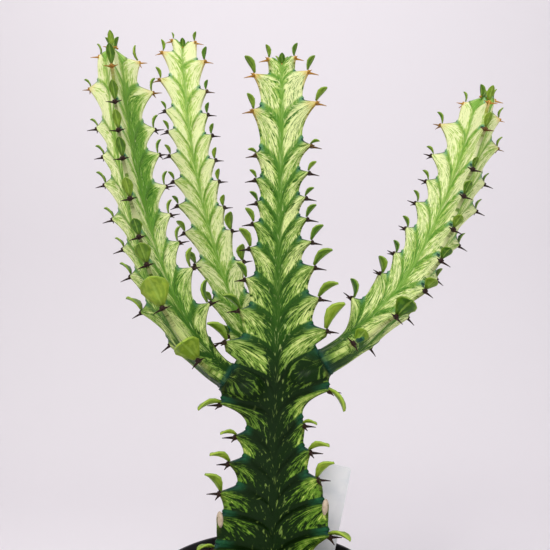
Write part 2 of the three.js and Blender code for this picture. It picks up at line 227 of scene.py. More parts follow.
middle = (0, 0, 0.25)
wall_middle = (0, 0.7, 0.35)
soft_lamp("sky_lamp", (-0.35, -0.8, 1.25), middle, 0.7, 14.5, (1.0, 0.99, 0.96))
soft_lamp("side_lamp", (0.95, -0.35, 0.75), middle, 0.6, 2.6, (0.96, 0.98, 1.0))
soft_lamp("front_lamp", (0.25, -1.1, 0.3), middle, 0.5, 1.6, (1.0, 1.0, 1.0))
soft_lamp("wall_lamp", (0, 0.1, 1.3), wall_middle, 1.2, 3.2, (0.98, 0.95, 1.0))

world_strength = 0.36
world = bpy.data.worlds.new("pale_world")
world.use_nodes = True
world.node_tree.nodes["Background"].inputs["Color"].default_value = colour("e8e4ea")
world.node_tree.nodes["Background"].inputs["Strength"].default_value = world_strength
bpy.context.scene.world = world
bpy.context.scene.view_settings.view_transform = "Standard"

# %% [markdown]
# ## The plant's measurements
# A stem is an axis with three ribs. `foot` is where it starts, and `path` holds the four points that bend its
# axis. The skin is plain up to `plain_length`. `valley`, `edge`, `leaf_width` and `spine_length` have one value
# for the foot and one for the tip, and `turns` tells by how many degrees the ribs turn on the way up.
#
# Each rib is a row of teeth, and every tooth is written as `[height along the stem, reach of its tip from the
# stem's axis, reach of the notch above it, leaf length, rise of the leaf in degrees]`, in millimetres. Leaf
# length 0 is a scar or the seat of a branch. These are the measurements that the solids were made from.

# %% The trunk in millimetres
main_stem = {
    "name": "main_stem",
    "foot": [4, 0, 64],
    "path": [[0, 0, 0], [0, 0, 116], [5, 0, 206], [5.5, 0, 309]],
    "plain_length": 26,
    "plain_reach": 20,
    "valley": [10.5, 5.5],
    "edge": [2.4, 1.3],
    "scoop": 2.4,
    "leaf_width": [0.27, 0.24],
    "spine_length": [6.5, 4.5],
    "turns": [0, 0],
    "ribs": [
        {"angle": 210, "teeth": [
            [34, 28, 20, 13, 30], [57, 34, 31, 10, 10], [72, 31, 27.5, 0, 0], [84, 31, 20, 14, 55],
            [98, 26.5, 17, 13, 30], [111, 23, 15.5, 10, 15], [128, 32, 30, 14, -5], [143, 30.5, 28, 0, 0],
            [159, 30, 19, 15, 45], [175, 23, 15.5, 13, 40], [191, 20, 13, 10, 60], [207, 18, 12, 12, 60],
            [220, 16.5, 11, 9, 60], [231, 14.5, 11, 7, 50], [243, 15.5, 11, 6, 50], [256, 15.5, 12, 6, 20],
            [279, 18, 12, 9, 70], [298, 17.5, 7, 10.5, 60], [308, 9, 5, 8, 80]]},
        {"angle": 330, "teeth": [
            [40, 27, 20, 14, 30], [64, 33, 31, 13, 5], [79, 31, 28, 0, 0], [91, 26, 19, 14, 50],
            [104, 21.5, 16.5, 13, 25], [117, 17.5, 15.5, 9, 10], [136, 31.5, 30, 15, -40], [151, 28, 27, 0, 0],
            [166, 29.5, 20, 18, 60], [182, 25, 17, 14, 40], [198, 22, 13, 14, 45], [211, 20, 12, 11, 55],
            [223, 17, 11, 9, 55], [234, 16, 10.5, 7, 45], [247, 17.5, 10.5, 7, 50], [261, 18.5, 12, 6, 15],
            [283, 21.5, 12, 9.5, 50], [300, 16.5, 7, 9.5, 65], [309, 8.5, 5, 8, 80]]},
        {"angle": 90, "teeth": [
            [46, 28, 20, 12, 30], [68, 32, 22, 13, 30], [82, 30, 20, 12, 40], [94, 27, 18, 13, 45],
            [107, 23, 17, 12, 30], [122, 27, 24, 13, 10], [139, 26, 23, 0, 0], [157, 26, 18, 14, 50],
            [171, 24, 16, 13, 50], [184, 22, 14, 12, 55], [197, 20, 13, 11, 55], [209, 18, 12, 10, 60],
            [220, 17, 11, 9, 60], [231, 16, 11, 8, 60], [244, 16.5, 11, 7, 50], [258, 17, 11.5, 7, 40],
            [274, 18, 12, 8, 55], [292, 17, 8, 9, 65], [305, 11, 5, 8, 75]]},
    ],
}
print("teeth on the ribs:", [len(rib["teeth"]) for rib in main_stem["ribs"]])

# %% [markdown]
# The left branch first sweeps far out and then climbs steeply. A table is copied and changed for each branch,
# because no two branches are alike and a rule would make them look like copies.

# %% The left branch in millimetres
left_branch = {
    "name": "left_branch",
    "foot": [-19, -14, 206],
    "path": [[0, 0, 0], [-33, -1, 20], [-51, 0, 90], [-59, 2, 171]],
    "plain_length": 4,
    "plain_reach": 6.6,
    "valley": [5.6, 4.6],
    "edge": [1.6, 1.2],
    "scoop": 1.7,
    "leaf_width": [0.38, 0.22],
    "spine_length": [5, 4],
    "turns": [0, 15],
    "ribs": [
        {"angle": 24, "teeth": [
            [16, 8, 8.5, 0, 0], [38, 20, 12, 13, 75], [61, 19.5, 11, 11, 75], [77, 17.5, 10.5, 8.5, 70],
            [93, 17, 10.5, 8, 70], [109, 18.5, 11, 8, 75], [127, 18.5, 11, 8, 75], [141, 18.5, 11, 8, 70],
            [162, 20.5, 11, 8, 75], [178, 14.5, 6, 8.5, 110]]},
        {"angle": 264, "teeth": [
            [16, 12, 9.5, 16, 45], [46, 18, 12, 17, 70], [68, 17, 11, 11, 70], [82, 16.5, 10.5, 9, 70],
            [101, 17, 10.5, 10, 75], [121, 17, 11, 10, 75], [135, 17, 11, 9.5, 75], [149, 17.5, 11, 10, 75],
            [167, 17, 10, 10.5, 75], [179, 11, 6, 8, 85]]},
        {"angle": 144, "teeth": [
            [30, 13, 10.5, 0, 0], [50, 20, 12, 12, 50], [68, 17.5, 11, 9.5, 55], [82, 16.5, 10.5, 7.5, 55],
            [98, 18, 11, 8, 50], [116, 18, 11, 8.5, 55], [130, 15.5, 10.5, 7.5, 50], [145, 16.5, 10.5, 6.5, 45],
            [166, 17.5, 10.5, 7.5, 50], [181, 9, 6, 7, 80]]},
    ],
}
print("teeth on the ribs:", [len(rib["teeth"]) for rib in left_branch["ribs"]])

# %% [markdown]
# The back branch grows behind the left one, a little away from the viewer. Its ribs run up without a turn.

# %% The back branch in millimetres
back_branch = {
    "name": "back_branch",
    "foot": [3, 25, 203],
    "path": [[0, 0, 0], [-21, 11, 27], [-49, 12, 102], [-52, 11, 194]],
    "plain_length": 4,
    "plain_reach": 6.4,
    "valley": [5.2, 4.2],
    "edge": [1.5, 1.1],
    "scoop": 1.7,
    "leaf_width": [0.3, 0.22],
    "spine_length": [5, 4],
    "turns": [0, 0],
    "ribs": [
        {"angle": 210, "teeth": [
            [29, 12, 9, 8, 50], [50, 14, 9.5, 8, 50], [73, 16, 10, 9, 60], [92, 17, 10, 8, 60],
            [108, 17, 10, 6, 60], [122, 16.5, 10, 6, 60], [137, 16, 9.5, 6.5, 65], [151, 15, 9.5, 6.5, 65],
            [163, 15, 9, 5.5, 60], [181, 16.5, 9, 7, 70], [197, 14, 6, 7, 90], [205, 7.5, 4.5, 6, 85]]},
        {"angle": 330, "teeth": [
            [24, 12, 9, 8, 50], [45, 15, 10, 9, 60], [66, 16.5, 10, 10, 75], [86, 15, 9.5, 11, 80],
            [101, 14, 9, 7, 75], [117, 14.5, 9, 7, 75], [130, 15, 9.5, 7, 75], [145, 15.5, 9.5, 6.5, 70],
            [158, 14.5, 9, 6.5, 75], [172, 15.5, 9.5, 6, 75], [190, 16, 9, 8, 80], [203, 9.5, 5, 7, 80]]},
        {"angle": 90, "teeth": [
            [18, 9, 8.5, 0, 0], [38, 14, 9.5, 8, 50], [60, 16, 10, 9, 60], [80, 16, 10, 9, 60],
            [97, 15.5, 10, 8, 65], [111, 15.5, 9.5, 7, 65], [126, 15.5, 9.5, 7, 65], [140, 15, 9.5, 6.5, 65],
            [153, 15, 9.5, 6.5, 65], [167, 15.5, 9.5, 6, 65], [184, 15.5, 8.5, 7, 75], [200, 11, 5, 7, 80]]},
    ],
}
print("teeth on the ribs:", [len(rib["teeth"]) for rib in back_branch["ribs"]])

# %% [markdown]
# The right branch is the shortest. It starts out low to the right, and its ribs turn the most.

# %% The right branch in millimetres
right_branch = {
    "name": "right_branch",
    "foot": [31, -14, 213.5],
    "path": [[0, 0, 0], [29, 0, 15.5], [64, 3, 52.5], [84, 5, 139]],
    "plain_length": 12,
    "plain_reach": 6.4,
    "valley": [5.8, 4.6],
    "edge": [1.6, 1.2],
    "scoop": 1.7,
    "leaf_width": [0.4, 0.24],
    "spine_length": [5, 4],
    "turns": [-20, 18, -2, -2],
    "ribs": [
        {"angle": 32, "teeth": [
            [23, 9, 8.5, 0, 0], [47, 17, 11.5, 6, 70], [71, 19, 11.5, 6, 85], [91, 19, 11.5, 7, 80],
            [110, 18.5, 12, 6.5, 80], [124, 17, 11.5, 6, 75], [144, 19, 11, 7, 75], [158, 15, 7, 8, 80],
            [166, 8, 5, 6, 85]]},
        {"angle": 272, "teeth": [
            [17, 9, 8.5, 9, 65], [40, 16, 12, 13, 45], [58, 17.5, 11.5, 8, 45], [74, 18, 11.5, 8, 45],
            [90, 18, 11.5, 8, 50], [107, 18, 11.5, 8, 50], [121, 18, 11.5, 6, 50], [142, 18, 10.5, 8, 60],
            [158, 12, 6, 8, 75]]},
        {"angle": 152, "teeth": [
            [34, 19, 13, 11, 45], [55, 15, 11, 9.5, 50], [69, 15, 11, 7, 55], [85, 16.5, 11.5, 7, 45],
            [101, 18, 12, 7, 55], [115, 17.5, 11.5, 6.5, 45], [130, 19.5, 11.5, 6, 35], [148, 19.5, 10, 7.5, 60],
            [161, 10, 6, 6, 75]]},
    ],
}
branches = (left_branch, back_branch, right_branch)
print("teeth:", {s["name"]: sum(len(rib["teeth"]) for rib in s["ribs"]) for s in (main_stem, *branches)})


# %% [markdown]
# A stem's axis is a Bezier curve. The helper measures it once, and then answers where the axis is at any
# height, and which way is up along it, sideways across it and away from the viewer. `stand` tells the same
# for one rib.


# %% The axis of a stem
axis_samples = 600


def bezier(points, t):
    p = [np.array(point, float) for point in points]
    t = np.asarray(t, float)[..., None]
    return (1 - t) ** 3 * p[0] + 3 * (1 - t) ** 2 * t * p[1] + 3 * (1 - t) * t ** 2 * p[2] + t ** 3 * p[3]


def measure_axis(stem):
    line = bezier(stem["path"], np.linspace(0, 1, axis_samples))
    steps = np.linalg.norm(np.diff(line, axis=0), axis=1)
    up = np.gradient(line, axis=0)
    up /= np.linalg.norm(up, axis=1)[:, None]
    heights = np.concatenate([[0], np.cumsum(steps)])
    return {"line": line + np.array(stem["foot"], float), "up": up, "heights": heights, "length": heights[-1]}


def along_axis(axis, height):
    height = np.asarray(height, float)
    inside = np.clip(height, 0, axis["length"])
    centre = np.stack([np.interp(inside, axis["heights"], axis["line"][:, k]) for k in range(3)], -1)
    up = np.stack([np.interp(inside, axis["heights"], axis["up"][:, k]) for k in range(3)], -1)
    up /= np.linalg.norm(up, axis=-1)[..., None]
    away = np.array([0.0, 1.0, 0.0]) - up * up[..., 1:2]
    away /= np.linalg.norm(away, axis=-1)[..., None]
    right = np.cross(away, up)
    centre = centre + up * (height - inside)[..., None]
    return centre, up, away, right


def rib_direction(stem, axis, height, angle):
    share = np.clip(np.asarray(height, float) / axis["length"], 0, 1)
    grown = np.interp(share, np.linspace(0, 1, len(stem["turns"])), stem["turns"])
    turn = np.radians(angle + grown)[..., None]
    _, _, away, right = along_axis(axis, height)
    return right * np.cos(turn) + away * np.sin(turn)


def stand(stem, rib, height):
    """The axis point beside a tooth, and the tooth's own directions: out, aside and up."""
    centre, up, _, _ = along_axis(stem["axis"], height)
    out, side = (rib_direction(stem, stem["axis"], height, rib["angle"] + more) for more in (0, 90))
    return centre, out, side, up


for stem in (main_stem, *branches):
    stem["axis"] = measure_axis(stem)
print("stem lengths:", {s["name"]: round(float(s["axis"]["length"])) for s in (main_stem, *branches)})

# %% [markdown]
# Seen from the side, a rib's edge is a saw. From each tip a hollow shelf runs inwards and up to a small cusp at
# the notch, and from there a long hollow flank runs out to the next tip. `rib_rows` lists that outline from
# the foot to the tip. Its `lobe` number grows by one per tooth, is whole at a tip, and later steers the
# colours.


# %% The outline of a rib
shelf_steps = 7
flank_steps = 10
notch_rise = 0.2
shelf_hollow = 1.9
cusp_reach = 0.8
flank_dip = 0.15
plain_lobes = (0.3, 0.45)
foot_depth = 1.2
tip_gap = 4


def rib_rows(stem, rib):
    """Rows of height, reach, lobe number and closing, which is 0 where the skin meets on the axis."""
    start = stem["plain_length"]
    foot = [(-foot_depth, 0.0), (-foot_depth, 0.93), (-0.6, 1.04), (0.2, 1.07)]
    foot += [(height, 1.0) for height in np.linspace(1.2, start, 4)]
    rows = [(height, stem["plain_reach"], np.interp(height, (0, start), plain_lobes), closing)
            for height, closing in foot]
    notch_height, notch_reach = start, stem["plain_reach"]
    for number, (height, reach, next_reach, _, _) in enumerate(rib["teeth"]):
        for k in range(1, flank_steps + 1):
            t = k / flank_steps
            dip = flank_dip * math.sin(math.pi * min(t / 0.4, 1)) * (number > 0)
            first = notch_rise if number else plain_lobes[1]
            rows.append((notch_height + (height - notch_height) * t,
                         notch_reach + (reach - notch_reach) * t ** stem["scoop"] - dip,
                         number + first + (1 - first) * t, 1.0))
        later = rib["teeth"][number + 1][0] if number + 1 < len(rib["teeth"]) else height + tip_gap
        next_height = height + notch_rise * (later - height)
        for k in range(1, shelf_steps + 1):
            t = k / shelf_steps
            cusp = cusp_reach * max(0, (t - 0.62) / 0.38) ** 1.6
            rows.append((height + (next_height - height) * t,
                         next_reach + (reach - next_reach) * (1 - t) ** shelf_hollow + cusp,
                         number + 1 + notch_rise * t, 1.0))
        notch_height, notch_reach = next_height, next_reach
    for rise, closing in ((0.3, 0.85), (0.3, 0.6), (0.2, 0.3), (0.1, 0.0)):
        rows.append((notch_height + rise, notch_reach, len(rib["teeth"]) + notch_rise, closing))
    return np.array(rows)


print("rows on the main stem:", len(rib_rows(main_stem, main_stem["ribs"][0])))

# %% [markdown]
# ## The skin of a stem
# The skin could be sculpted, but a stem has dozens of teeth that follow one rule. So a flat grid is rolled up.
# Its columns run up the edge of a rib, up its side or along a valley. They stand closer together near the
# valley's middle. `smooth` is the soft step that much of the shaping below needs.


# %% The columns round a stem
side_columns = 11
column_crowding = 1.25


def column_list():
    """Columns of one rib, from the valley before it over its edge to just before the next valley."""
    across = [(k / side_columns) ** column_crowding for k in range(side_columns, -1, -1)]
    return [(-1, a) for a in across] + [(0, 0.0)] + [(1, a) for a in reversed(across[1:])]


def smooth(value, low, high):
    t = np.clip((value - low) / (high - low), 0, 1)
    return t * t * (3 - 2 * t)


print("columns round a stem:", 3 * len(column_list()))

# %% [markdown]
# Across a rib, its side is one curve that starts at the edge, bends and ends in the valley. Every lobe swells
# out of that curve a little and dips again at its notch.


# %% The side of a rib
lobe_swell = 1.5
edge_narrow = 0.6


def side_of_rib(rows, valley, edge, across, sinking):
    """One column of the side: how far out along the rib, and how far aside, every row lies."""
    start = np.stack([rows[:, 1] + 0.15 * edge, edge * edge_narrow], -1)
    bend = np.stack([valley * 1.3, np.maximum(valley * 0.5, edge)], -1)
    end = np.stack([valley * 0.5, valley * math.sqrt(0.75)], -1)
    point = (1 - across) ** 2 * start + 2 * across * (1 - across) * bend + across * across * end
    slope = 2 * (1 - across) * (bend - start) + 2 * across * (end - bend)
    slope /= np.linalg.norm(slope, axis=1)[:, None]
    phase = rows[:, 2] % 1
    crest = np.where(phase > notch_rise, (phase - notch_rise) / (1 - notch_rise), 1 - phase / notch_rise)
    swell = lobe_swell * (smooth(crest, 0, 1) - 0.45) * math.sin(math.pi * across) ** 0.8 * sinking
    return point + np.stack([-slope[:, 1], slope[:, 0]], -1) * swell[:, None]


print("a lobe swells by", lobe_swell, "mm")

# %% [markdown]
# Each row of the grid becomes one outline round the stem. The folds between lobes sink towards the valleys, as
# on the plant, and at the growing tip the skin dips between the ribs.


# %% Roll a grid into a ribbed stem
flow_lag = 1.1
lag_run = 30
tip_sinking = 0.35
tip_depth = 2.5
edge_out = 0.5


def roll_stem(stem):
    axis = stem["axis"]
    length = axis["length"]
    ribs = sorted(stem["ribs"], key=lambda rib: rib["angle"])
    rows = [rib_rows(stem, rib) for rib in ribs]
    columns = column_list()
    rolled = {name: [] for name in ("place", "lobe", "rim", "around", "share")}
    for k, rib in enumerate(ribs):
        own = rows[k]
        for side, across in columns:
            other = rows[(k + (1 if side > 0 else -1)) % 3] if side else own
            sinking = np.clip((own[:, 0] - stem["plain_length"]) / lag_run, 0, 1)
            sinking = sinking * np.clip((length - own[:, 0]) / lag_run, tip_sinking, 1)
            pitch = length / len(rib["teeth"])
            valley_height = (own[:, 0] + other[:, 0]) / 2 - flow_lag * pitch * sinking
            height = own[:, 0] + (valley_height - own[:, 0]) * (1 - math.sqrt(1 - across))
            at_tip = (own[:, 3] < 1) & (own[:, 0] > length / 2)
            height = np.where(at_tip, height * own[:, 3] + (length - tip_depth) * (1 - own[:, 3]), height)
            share = np.clip(height / length, 0, 1)
            valley = stem["valley"][0] + (stem["valley"][1] - stem["valley"][0]) * share
            edge = stem["edge"][0] + (stem["edge"][1] - stem["edge"][0]) * share
            point = side_of_rib(own, valley, edge, across, sinking)
            if side == 0:
                point = np.stack([own[:, 1] + edge_out * edge, edge * 0], -1)
            point = point * own[:, 3:4]
            centre, out, aside, _ = stand(stem, rib, height)
            place = centre + out * point[:, :1] + aside * side * point[:, 1:]
            around = np.full(len(own), 2 * k + 1 + side * across)
            found = (place, own[:, 2], np.full(len(own), 1 - across), around, share)
            for column, values in zip(rolled.values(), found):
                column.append(values)
    return {name: np.stack(column, 1) for name, column in rolled.items()}


print("the tip dips by", tip_depth, "mm")

# %% [markdown]
# The grid becomes a mesh here. Every corner of a face remembers its lobe, its place between valley and edge, and
# how pale the skin is there. Corners are used, and not points, so that the numbers may jump at the seam where
# the grid's two sides meet. The seam and both ends are then merged into one closed skin.


# %% Build one skin
def skin_from_grid(stem, places, values):
    row_count, column_count = places.shape[:2]
    deselect_all()
    bpy.ops.mesh.primitive_grid_add(x_subdivisions=column_count, y_subdivisions=row_count - 1, size=1)
    skin = bpy.context.object
    skin.name = stem["name"] + "_skin"
    mesh = skin.data
    flat = np.zeros(len(mesh.vertices) * 3)
    mesh.vertices.foreach_get("co", flat)
    flat = flat.reshape(-1, 3)
    column = np.round((flat[:, 0] + 0.5) * column_count).astype(int)
    row = np.round((flat[:, 1] + 0.5) * (row_count - 1)).astype(int)
    mesh.vertices.foreach_set("co", (places[row, column % column_count] * mm).ravel())
    corner = np.zeros(len(mesh.loops), np.int32)
    mesh.loops.foreach_get("vertex_index", corner)
    for name, value in values.items():
        seam = value[:, :1] + (6 if name == "around" else 0)
        value = np.concatenate([value, seam], 1)
        layer = mesh.attributes.new(name, "FLOAT", "CORNER")
        layer.data.foreach_set("value", value[row, column][corner].astype(np.float32))
    close_up(skin)
    bpy.ops.object.shade_smooth()
    return skin


print("corner values: lobe, rim, around, share, pale, ripe, joint, arm, solid")

# %% [markdown]
# ## Where branches leave the trunk
# A branch grows out of a tooth: the trunk swells into a short round arm that ends in a flat seat, and a
# blue-green ring, painted as a highlight on the rounded lip, shows where the branch sits on it. The arm is
# pushed out of the skin's own points, so skin and arm stay one surface, with no seam as two joined tubes would
# have.


# %% Swell the trunk into arms
arm_drop = 14
arm_radius = (9.0, 7.2)
arm_blend = 2.2
seat_reach = 10.5
seat_depth = 0.3
seat_thickness = 9
axis_core = 3


def arm_line(branch):
    """The arm's root, its heading and its length, and the direction that the branch's foot faces."""
    seat = np.array(branch["foot"], float)
    root, _, _, _ = along_axis(main_stem["axis"], seat[2] - arm_drop - main_stem["foot"][2])
    reach = np.linalg.norm(seat - root)
    return root, (seat - root) / reach, reach, branch["axis"]["up"][0]


def swell_arms(places):
    seat_highlight = np.zeros(places.shape[:2])
    arm = np.zeros(places.shape[:2])
    for branch in branches:
        root, heading, reach, facing = arm_line(branch)
        seat = root + heading * reach
        run = (places - root) @ heading
        foot = root + run[..., None] * heading
        offset = places - foot
        distance = np.linalg.norm(offset, axis=-1)
        radius = arm_radius[0] + (arm_radius[1] - arm_radius[0]) * np.clip(run / reach, 0, 1)
        lift = (distance + radius + np.sqrt((distance - radius) ** 2 + arm_blend ** 2)) / 2
        near = smooth(distance, radius + 6, radius) * smooth(run, reach * 0.25, reach * 0.6)
        near = near * (distance > axis_core)
        wanted = distance + (lift - distance) * near
        places = foot + offset * (wanted / np.maximum(distance, 0.001))[..., None]
        over = (places - seat) @ facing + seat_depth
        off_axis = np.linalg.norm(places - seat - over[..., None] * facing, axis=-1)
        beyond = (over > 0) & (over < seat_thickness) & (off_axis < seat_reach)
        places = places - np.where(beyond, over, 0)[..., None] * facing
        # The ring round the seat's rim carries a painted highlight.
        seat_highlight = np.maximum(seat_highlight, smooth(np.abs(over), 1.6, 0.3) * smooth(off_axis, 11, 9))
        arm = np.maximum(arm, smooth(distance, radius + 5, radius) * smooth(run, reach * 0.3, reach * 0.7))
    return places, seat_highlight, arm


for branch in branches:
    print(branch["name"], "arm length", round(float(arm_line(branch)[2]), 1))

# %% [markdown]
# How pale the skin is grows with height: the old foot is nearly black green, partly as painted shade, and the
# young branches are cream. Each pair below is a share of the stem's length and the paleness there. On the left
# branch, the shaded face that looks front and right is painted greener and darker: painted shade. All of it is
# stored with the skin, so one material can dress the whole plant.


# %% Make the four skins
# The low paleness on the lower trunk is partly painted shade: the foot and the waist under the branches are
# painted darker.
trunk_paleness = ((0, 0.06), (0.3, 0.12), (0.44, 0.18), (0.52, 0.38), (0.7, 0.52), (0.85, 0.64), (1, 0.82))
branch_paleness = {
    "left_branch": ((0, 0.3), (0.15, 0.46), (0.4, 0.76), (0.75, 0.92), (1, 0.99)),
    "back_branch": ((0, 0.3), (0.12, 0.5), (0.3, 0.86), (1, 1.0)),
    "right_branch": ((0, 0.3), (0.1, 0.42), (0.3, 0.74), (1, 0.96)),
}
# Painted shade: how much paleness the left branch's shaded face loses.
painted_shade_loss = 0.2
ripening = (0.8, 0.97)


def painted_shade_face(rolled):
    """Painted shade on the left branch: greener, darker skin on both sides of the valley that faces front and
    right.
    """
    around, share = rolled["around"], rolled["share"]
    face = np.where(around < 1, smooth(around, 0.92, 0.62), smooth(around, 5.7, 5.9))
    return face * smooth(share, 0.42, 0.58) * smooth(share, 0.93, 0.8)


def make_skin(stem):
    rolled = roll_stem(stem)
    places, share = rolled.pop("place"), rolled["share"]
    paleness = np.array(branch_paleness.get(stem["name"], trunk_paleness))
    # The left branch's shaded face gets painted shade, greener and darker.
    rolled["solid"] = painted_shade_face(rolled) if stem is left_branch else np.zeros(share.shape)
    rolled["pale"] = np.interp(share, *paleness.T) * (1 - painted_shade_loss * rolled["solid"])
    rolled["ripe"] = smooth(share, *ripening)
    if stem is main_stem:
        places, rolled["seat_highlight"], rolled["arm"] = swell_arms(places)
    else:
        height = share * stem["axis"]["length"]
        # The branch's rounded lip carries the same painted highlight.
        rolled["seat_highlight"] = smooth(height, 1.8, 0.6) * 0.8
        rolled["arm"] = smooth(height, 16, 4) * 0.4
    return skin_from_grid(stem, places, rolled)


skins = {stem["name"]: make_skin(stem) for stem in (main_stem, *branches)}
for name, skin in skins.items():
    print(name, "faces:", len(skin.data.polygons), "box mm:", [round(v / mm) for v in skin.dimensions])

# %% [markdown]
# ## Looks from nodes
# A material is a network of nodes. To keep it readable, what runs through it is wrapped as a `Flow`, on which
# plus, minus and times work as on numbers. `feed` joins a flow, a number or a colour to a socket, and
# `add_node` adds one node with its inputs fed.


# %% Arithmetic on flows
class Flow:
    """A number or colour that runs through the shader of the material at hand."""

    def __init__(self, socket):
        self.socket = socket

    def __add__(self, other):
        return maths("ADD", self, other)

    def __sub__(self, other):
        return maths("SUBTRACT", self, other)

    def __rsub__(self, other):
        return maths("SUBTRACT", other, self)

    def __mul__(self, other):
        return maths("MULTIPLY", self, other)


def feed(socket, value):
    if isinstance(value, Flow):
        links.new(value.socket, socket)
    else:
        socket.default_value = colour(value) if isinstance(value, str) else value


def add_node(kind, inputs, output=0, **settings):
    """Add a node to the material at hand, feed its inputs and hand on one of its outputs."""
    node = nodes.new("ShaderNode" + kind)
    for name, value in settings.items():
        setattr(node, name, value)
    for name, value in inputs:
        feed(node.inputs[name], value)
    return Flow(node.outputs[output])


def maths(operation, *values):
    return add_node("Math", enumerate(values), operation=operation)


print("flows know: plus, minus, times")

# %% [markdown]
# Five more helpers each add one kind of node: a number stored with the mesh, a soft step, a mix of two
# colours, noise, and noise whose grain is stretched by giving each direction a fineness of its own.


# %% Helpers for node networks
def attribute(name):
    return add_node("Attribute", (), "Fac", attribute_name=name)


def step(value, low, high, start=0.0, end=1.0):
    """A soft step: start where value is low or less, end where it is high or more."""
    names = ("Value", "From Min", "From Max", "To Min", "To Max")
    return add_node("MapRange", zip(names, (value, low, high, start, end)), interpolation_type="SMOOTHSTEP")


def blend(share, first, second):
    return add_node("Mix", ((0, share), (6, first), (7, second)), 2, data_type="RGBA")


def noise(scale, detail=2.0, roughness=0.5, distortion=0.0, place=None):
    names = ("Vector", "Scale", "Detail", "Roughness", "Distortion")
    place = place or add_node("TexCoord", (), "Object")
    return add_node("TexNoise", zip(names, (place, scale, detail, roughness, distortion)), "Fac")


def stretched_noise(x, y, z, detail=2.0, roughness=0.5, distortion=0.0):
    return noise(1.0, detail, roughness, distortion, add_node("CombineXYZ", enumerate((x, y, z))))


def dress_shader(base, rough, relief, strength, depth):
    """Give the shader its colour, its roughness and fine bumps of the given depth in metres."""
    feed(shader.inputs["Base Color"], base)
    feed(shader.inputs["Roughness"], rough)
    bumps = add_node("Bump", (("Strength", strength), ("Distance", depth), ("Height", relief)))
    feed(shader.inputs["Normal"], bumps)


print("helpers ready")

# %% [markdown]
# ## The skin's colours
# The variegation is not random spots. Streaks of cream fan out from every spine pad, inwards and down, and a
# blue-green band lies on each shelf above a pad. So the streaks need a map. `drop` tells how far a point lies
# below the tip of its tooth, `inner` how far it is from the edge. Their angle `fan` stays the same along an arc
# that leaves the pad, runs inwards and bends down, and noise stretched along such arcs looks like the streaks.

# %% Where a point lies on its lobe
skin_paint, nodes, links, shader = new_material("variegated_skin", roughness=0.5)
lobe, rim, around, pale = attribute("lobe"), attribute("rim"), attribute("around"), attribute("pale")
ripe, seat_highlight, arm, solid = attribute("ripe"), attribute("seat_highlight"), attribute("arm"), attribute("solid")

tooth_tip_phase = 0.82
pad_height = 0.02
arc_bend = 1.4
arc_spread = 1.2
side_seed = 3.7
lobe_seed = 5.3

from_notch = lobe - (1 - tooth_tip_phase)
phase = maths("FRACT", from_notch)
inner = 1.0 - rim
drop = (tooth_tip_phase + pad_height) - phase
fan = maths("ARCTAN2", drop, maths("POWER", inner, arc_bend) * arc_spread + 0.05)
run_down = maths("ABSOLUTE", drop) + inner
flank_side = maths("FLOOR", around) * side_seed
lobe_number = maths("FLOOR", from_notch) * lobe_seed + flank_side
age_and_shade = step(pale, 0.3, 1.0)
print("the tip of a tooth lies at phase", tooth_tip_phase)

# %% [markdown]
# Three noises of different fineness are laid along the arcs. A fourth gives each lobe a mood of its own, and a
# fifth, unstretched, breaks the streaks up into flecks. The `brush` is their sum.

# %% Streaks and flecks
flecks = noise(420)
mood = stretched_noise(lobe_number * 0.7, inner * 0.8, 9.0, detail=0)
cloud = stretched_noise(fan * 3.0, run_down * 1.6, lobe_number, detail=1)
streaks = stretched_noise(fan * 10.0, run_down * 2.6, lobe_number, detail=3, roughness=0.6, distortion=0.5)
fine = stretched_noise(fan * 27.0, run_down * 6.0, lobe_number, detail=2, distortion=0.3)
brush = streaks + fine * 0.45 + (cloud * 0.45 + flecks * 0.35)
print("nodes so far:", len(nodes))

# %% [markdown]
# The `band` is the dark flow line that runs from each notch down to the valley, broad on old skin and narrow on
# young. `richness` tells where the skin has lost its green. Paleness raises it. The band, the valley, the middle
# of old lobes, the arms and the painted shade on the left branch's shaded face lower it.

# %% Bands and richness
from_band = maths("MINIMUM", phase, 1.0 - phase)
band_width = (1.0 - pale) * 0.09 + (brush - 1.02) * 0.16
band_width = band_width * step(rim, 0.55, 1.0, 1.0, 0.6)
band = 1.0 - step(from_band, band_width, band_width + 0.09)

old_middle = step(rim, 0.72, 0.4) * step(pale, 0.35, 0.0)
richness = brush + pale * 0.33 - band * 0.25 - step(rim, 0.5, 0.12) * 0.16
# The left branch's shaded face is painted darker green here: painted shade.
richness = richness - old_middle * 0.2 + (mood - 0.5) * 0.45 - (arm * 0.1 + solid * 0.3)
print("nodes so far:", len(nodes))

# %% [markdown]
# Each layer is mixed over the one before: green ground, lime and cream streaks, and dark green stripes on half
# grown skin. Every colour has an old and a young value, because the foot of the trunk is nearly black green,
# partly as painted shade, and the branches are cream.

# %% From green to cream
half_grown = step(pale, 0.18, 0.78)
# The near black old greens are partly painted shade on the lower trunk.
deep_green = blend(age_and_shade, blend(half_grown, "0b2401", "34700f"), "78a53c")
skin_colour = blend(step(richness, 1.06, 1.22), deep_green, blend(pale, "4a7808", "b4cf6a"))
skin_colour = blend(step(richness, 1.25, 1.4), skin_colour, blend(pale, "b0c44c", "e8eeb4"))

stripes = step(streaks * 0.5 + fine * 0.8, 0.63, 0.55)
stripes = stripes * (step(pale, 0.2, 0.45) * step(pale, 1.0, 0.75, 0.0, 0.95))
skin_colour = blend(stripes, skin_colour, blend(age_and_shade, "0c3203", "3d7a1c"))
print("nodes so far:", len(nodes))

# %% [markdown]
# Then come the dark flow lines between lobes, the blue-green shelf, the valley's green line with its pale
# dashes, and the dark arms that carry the branches.

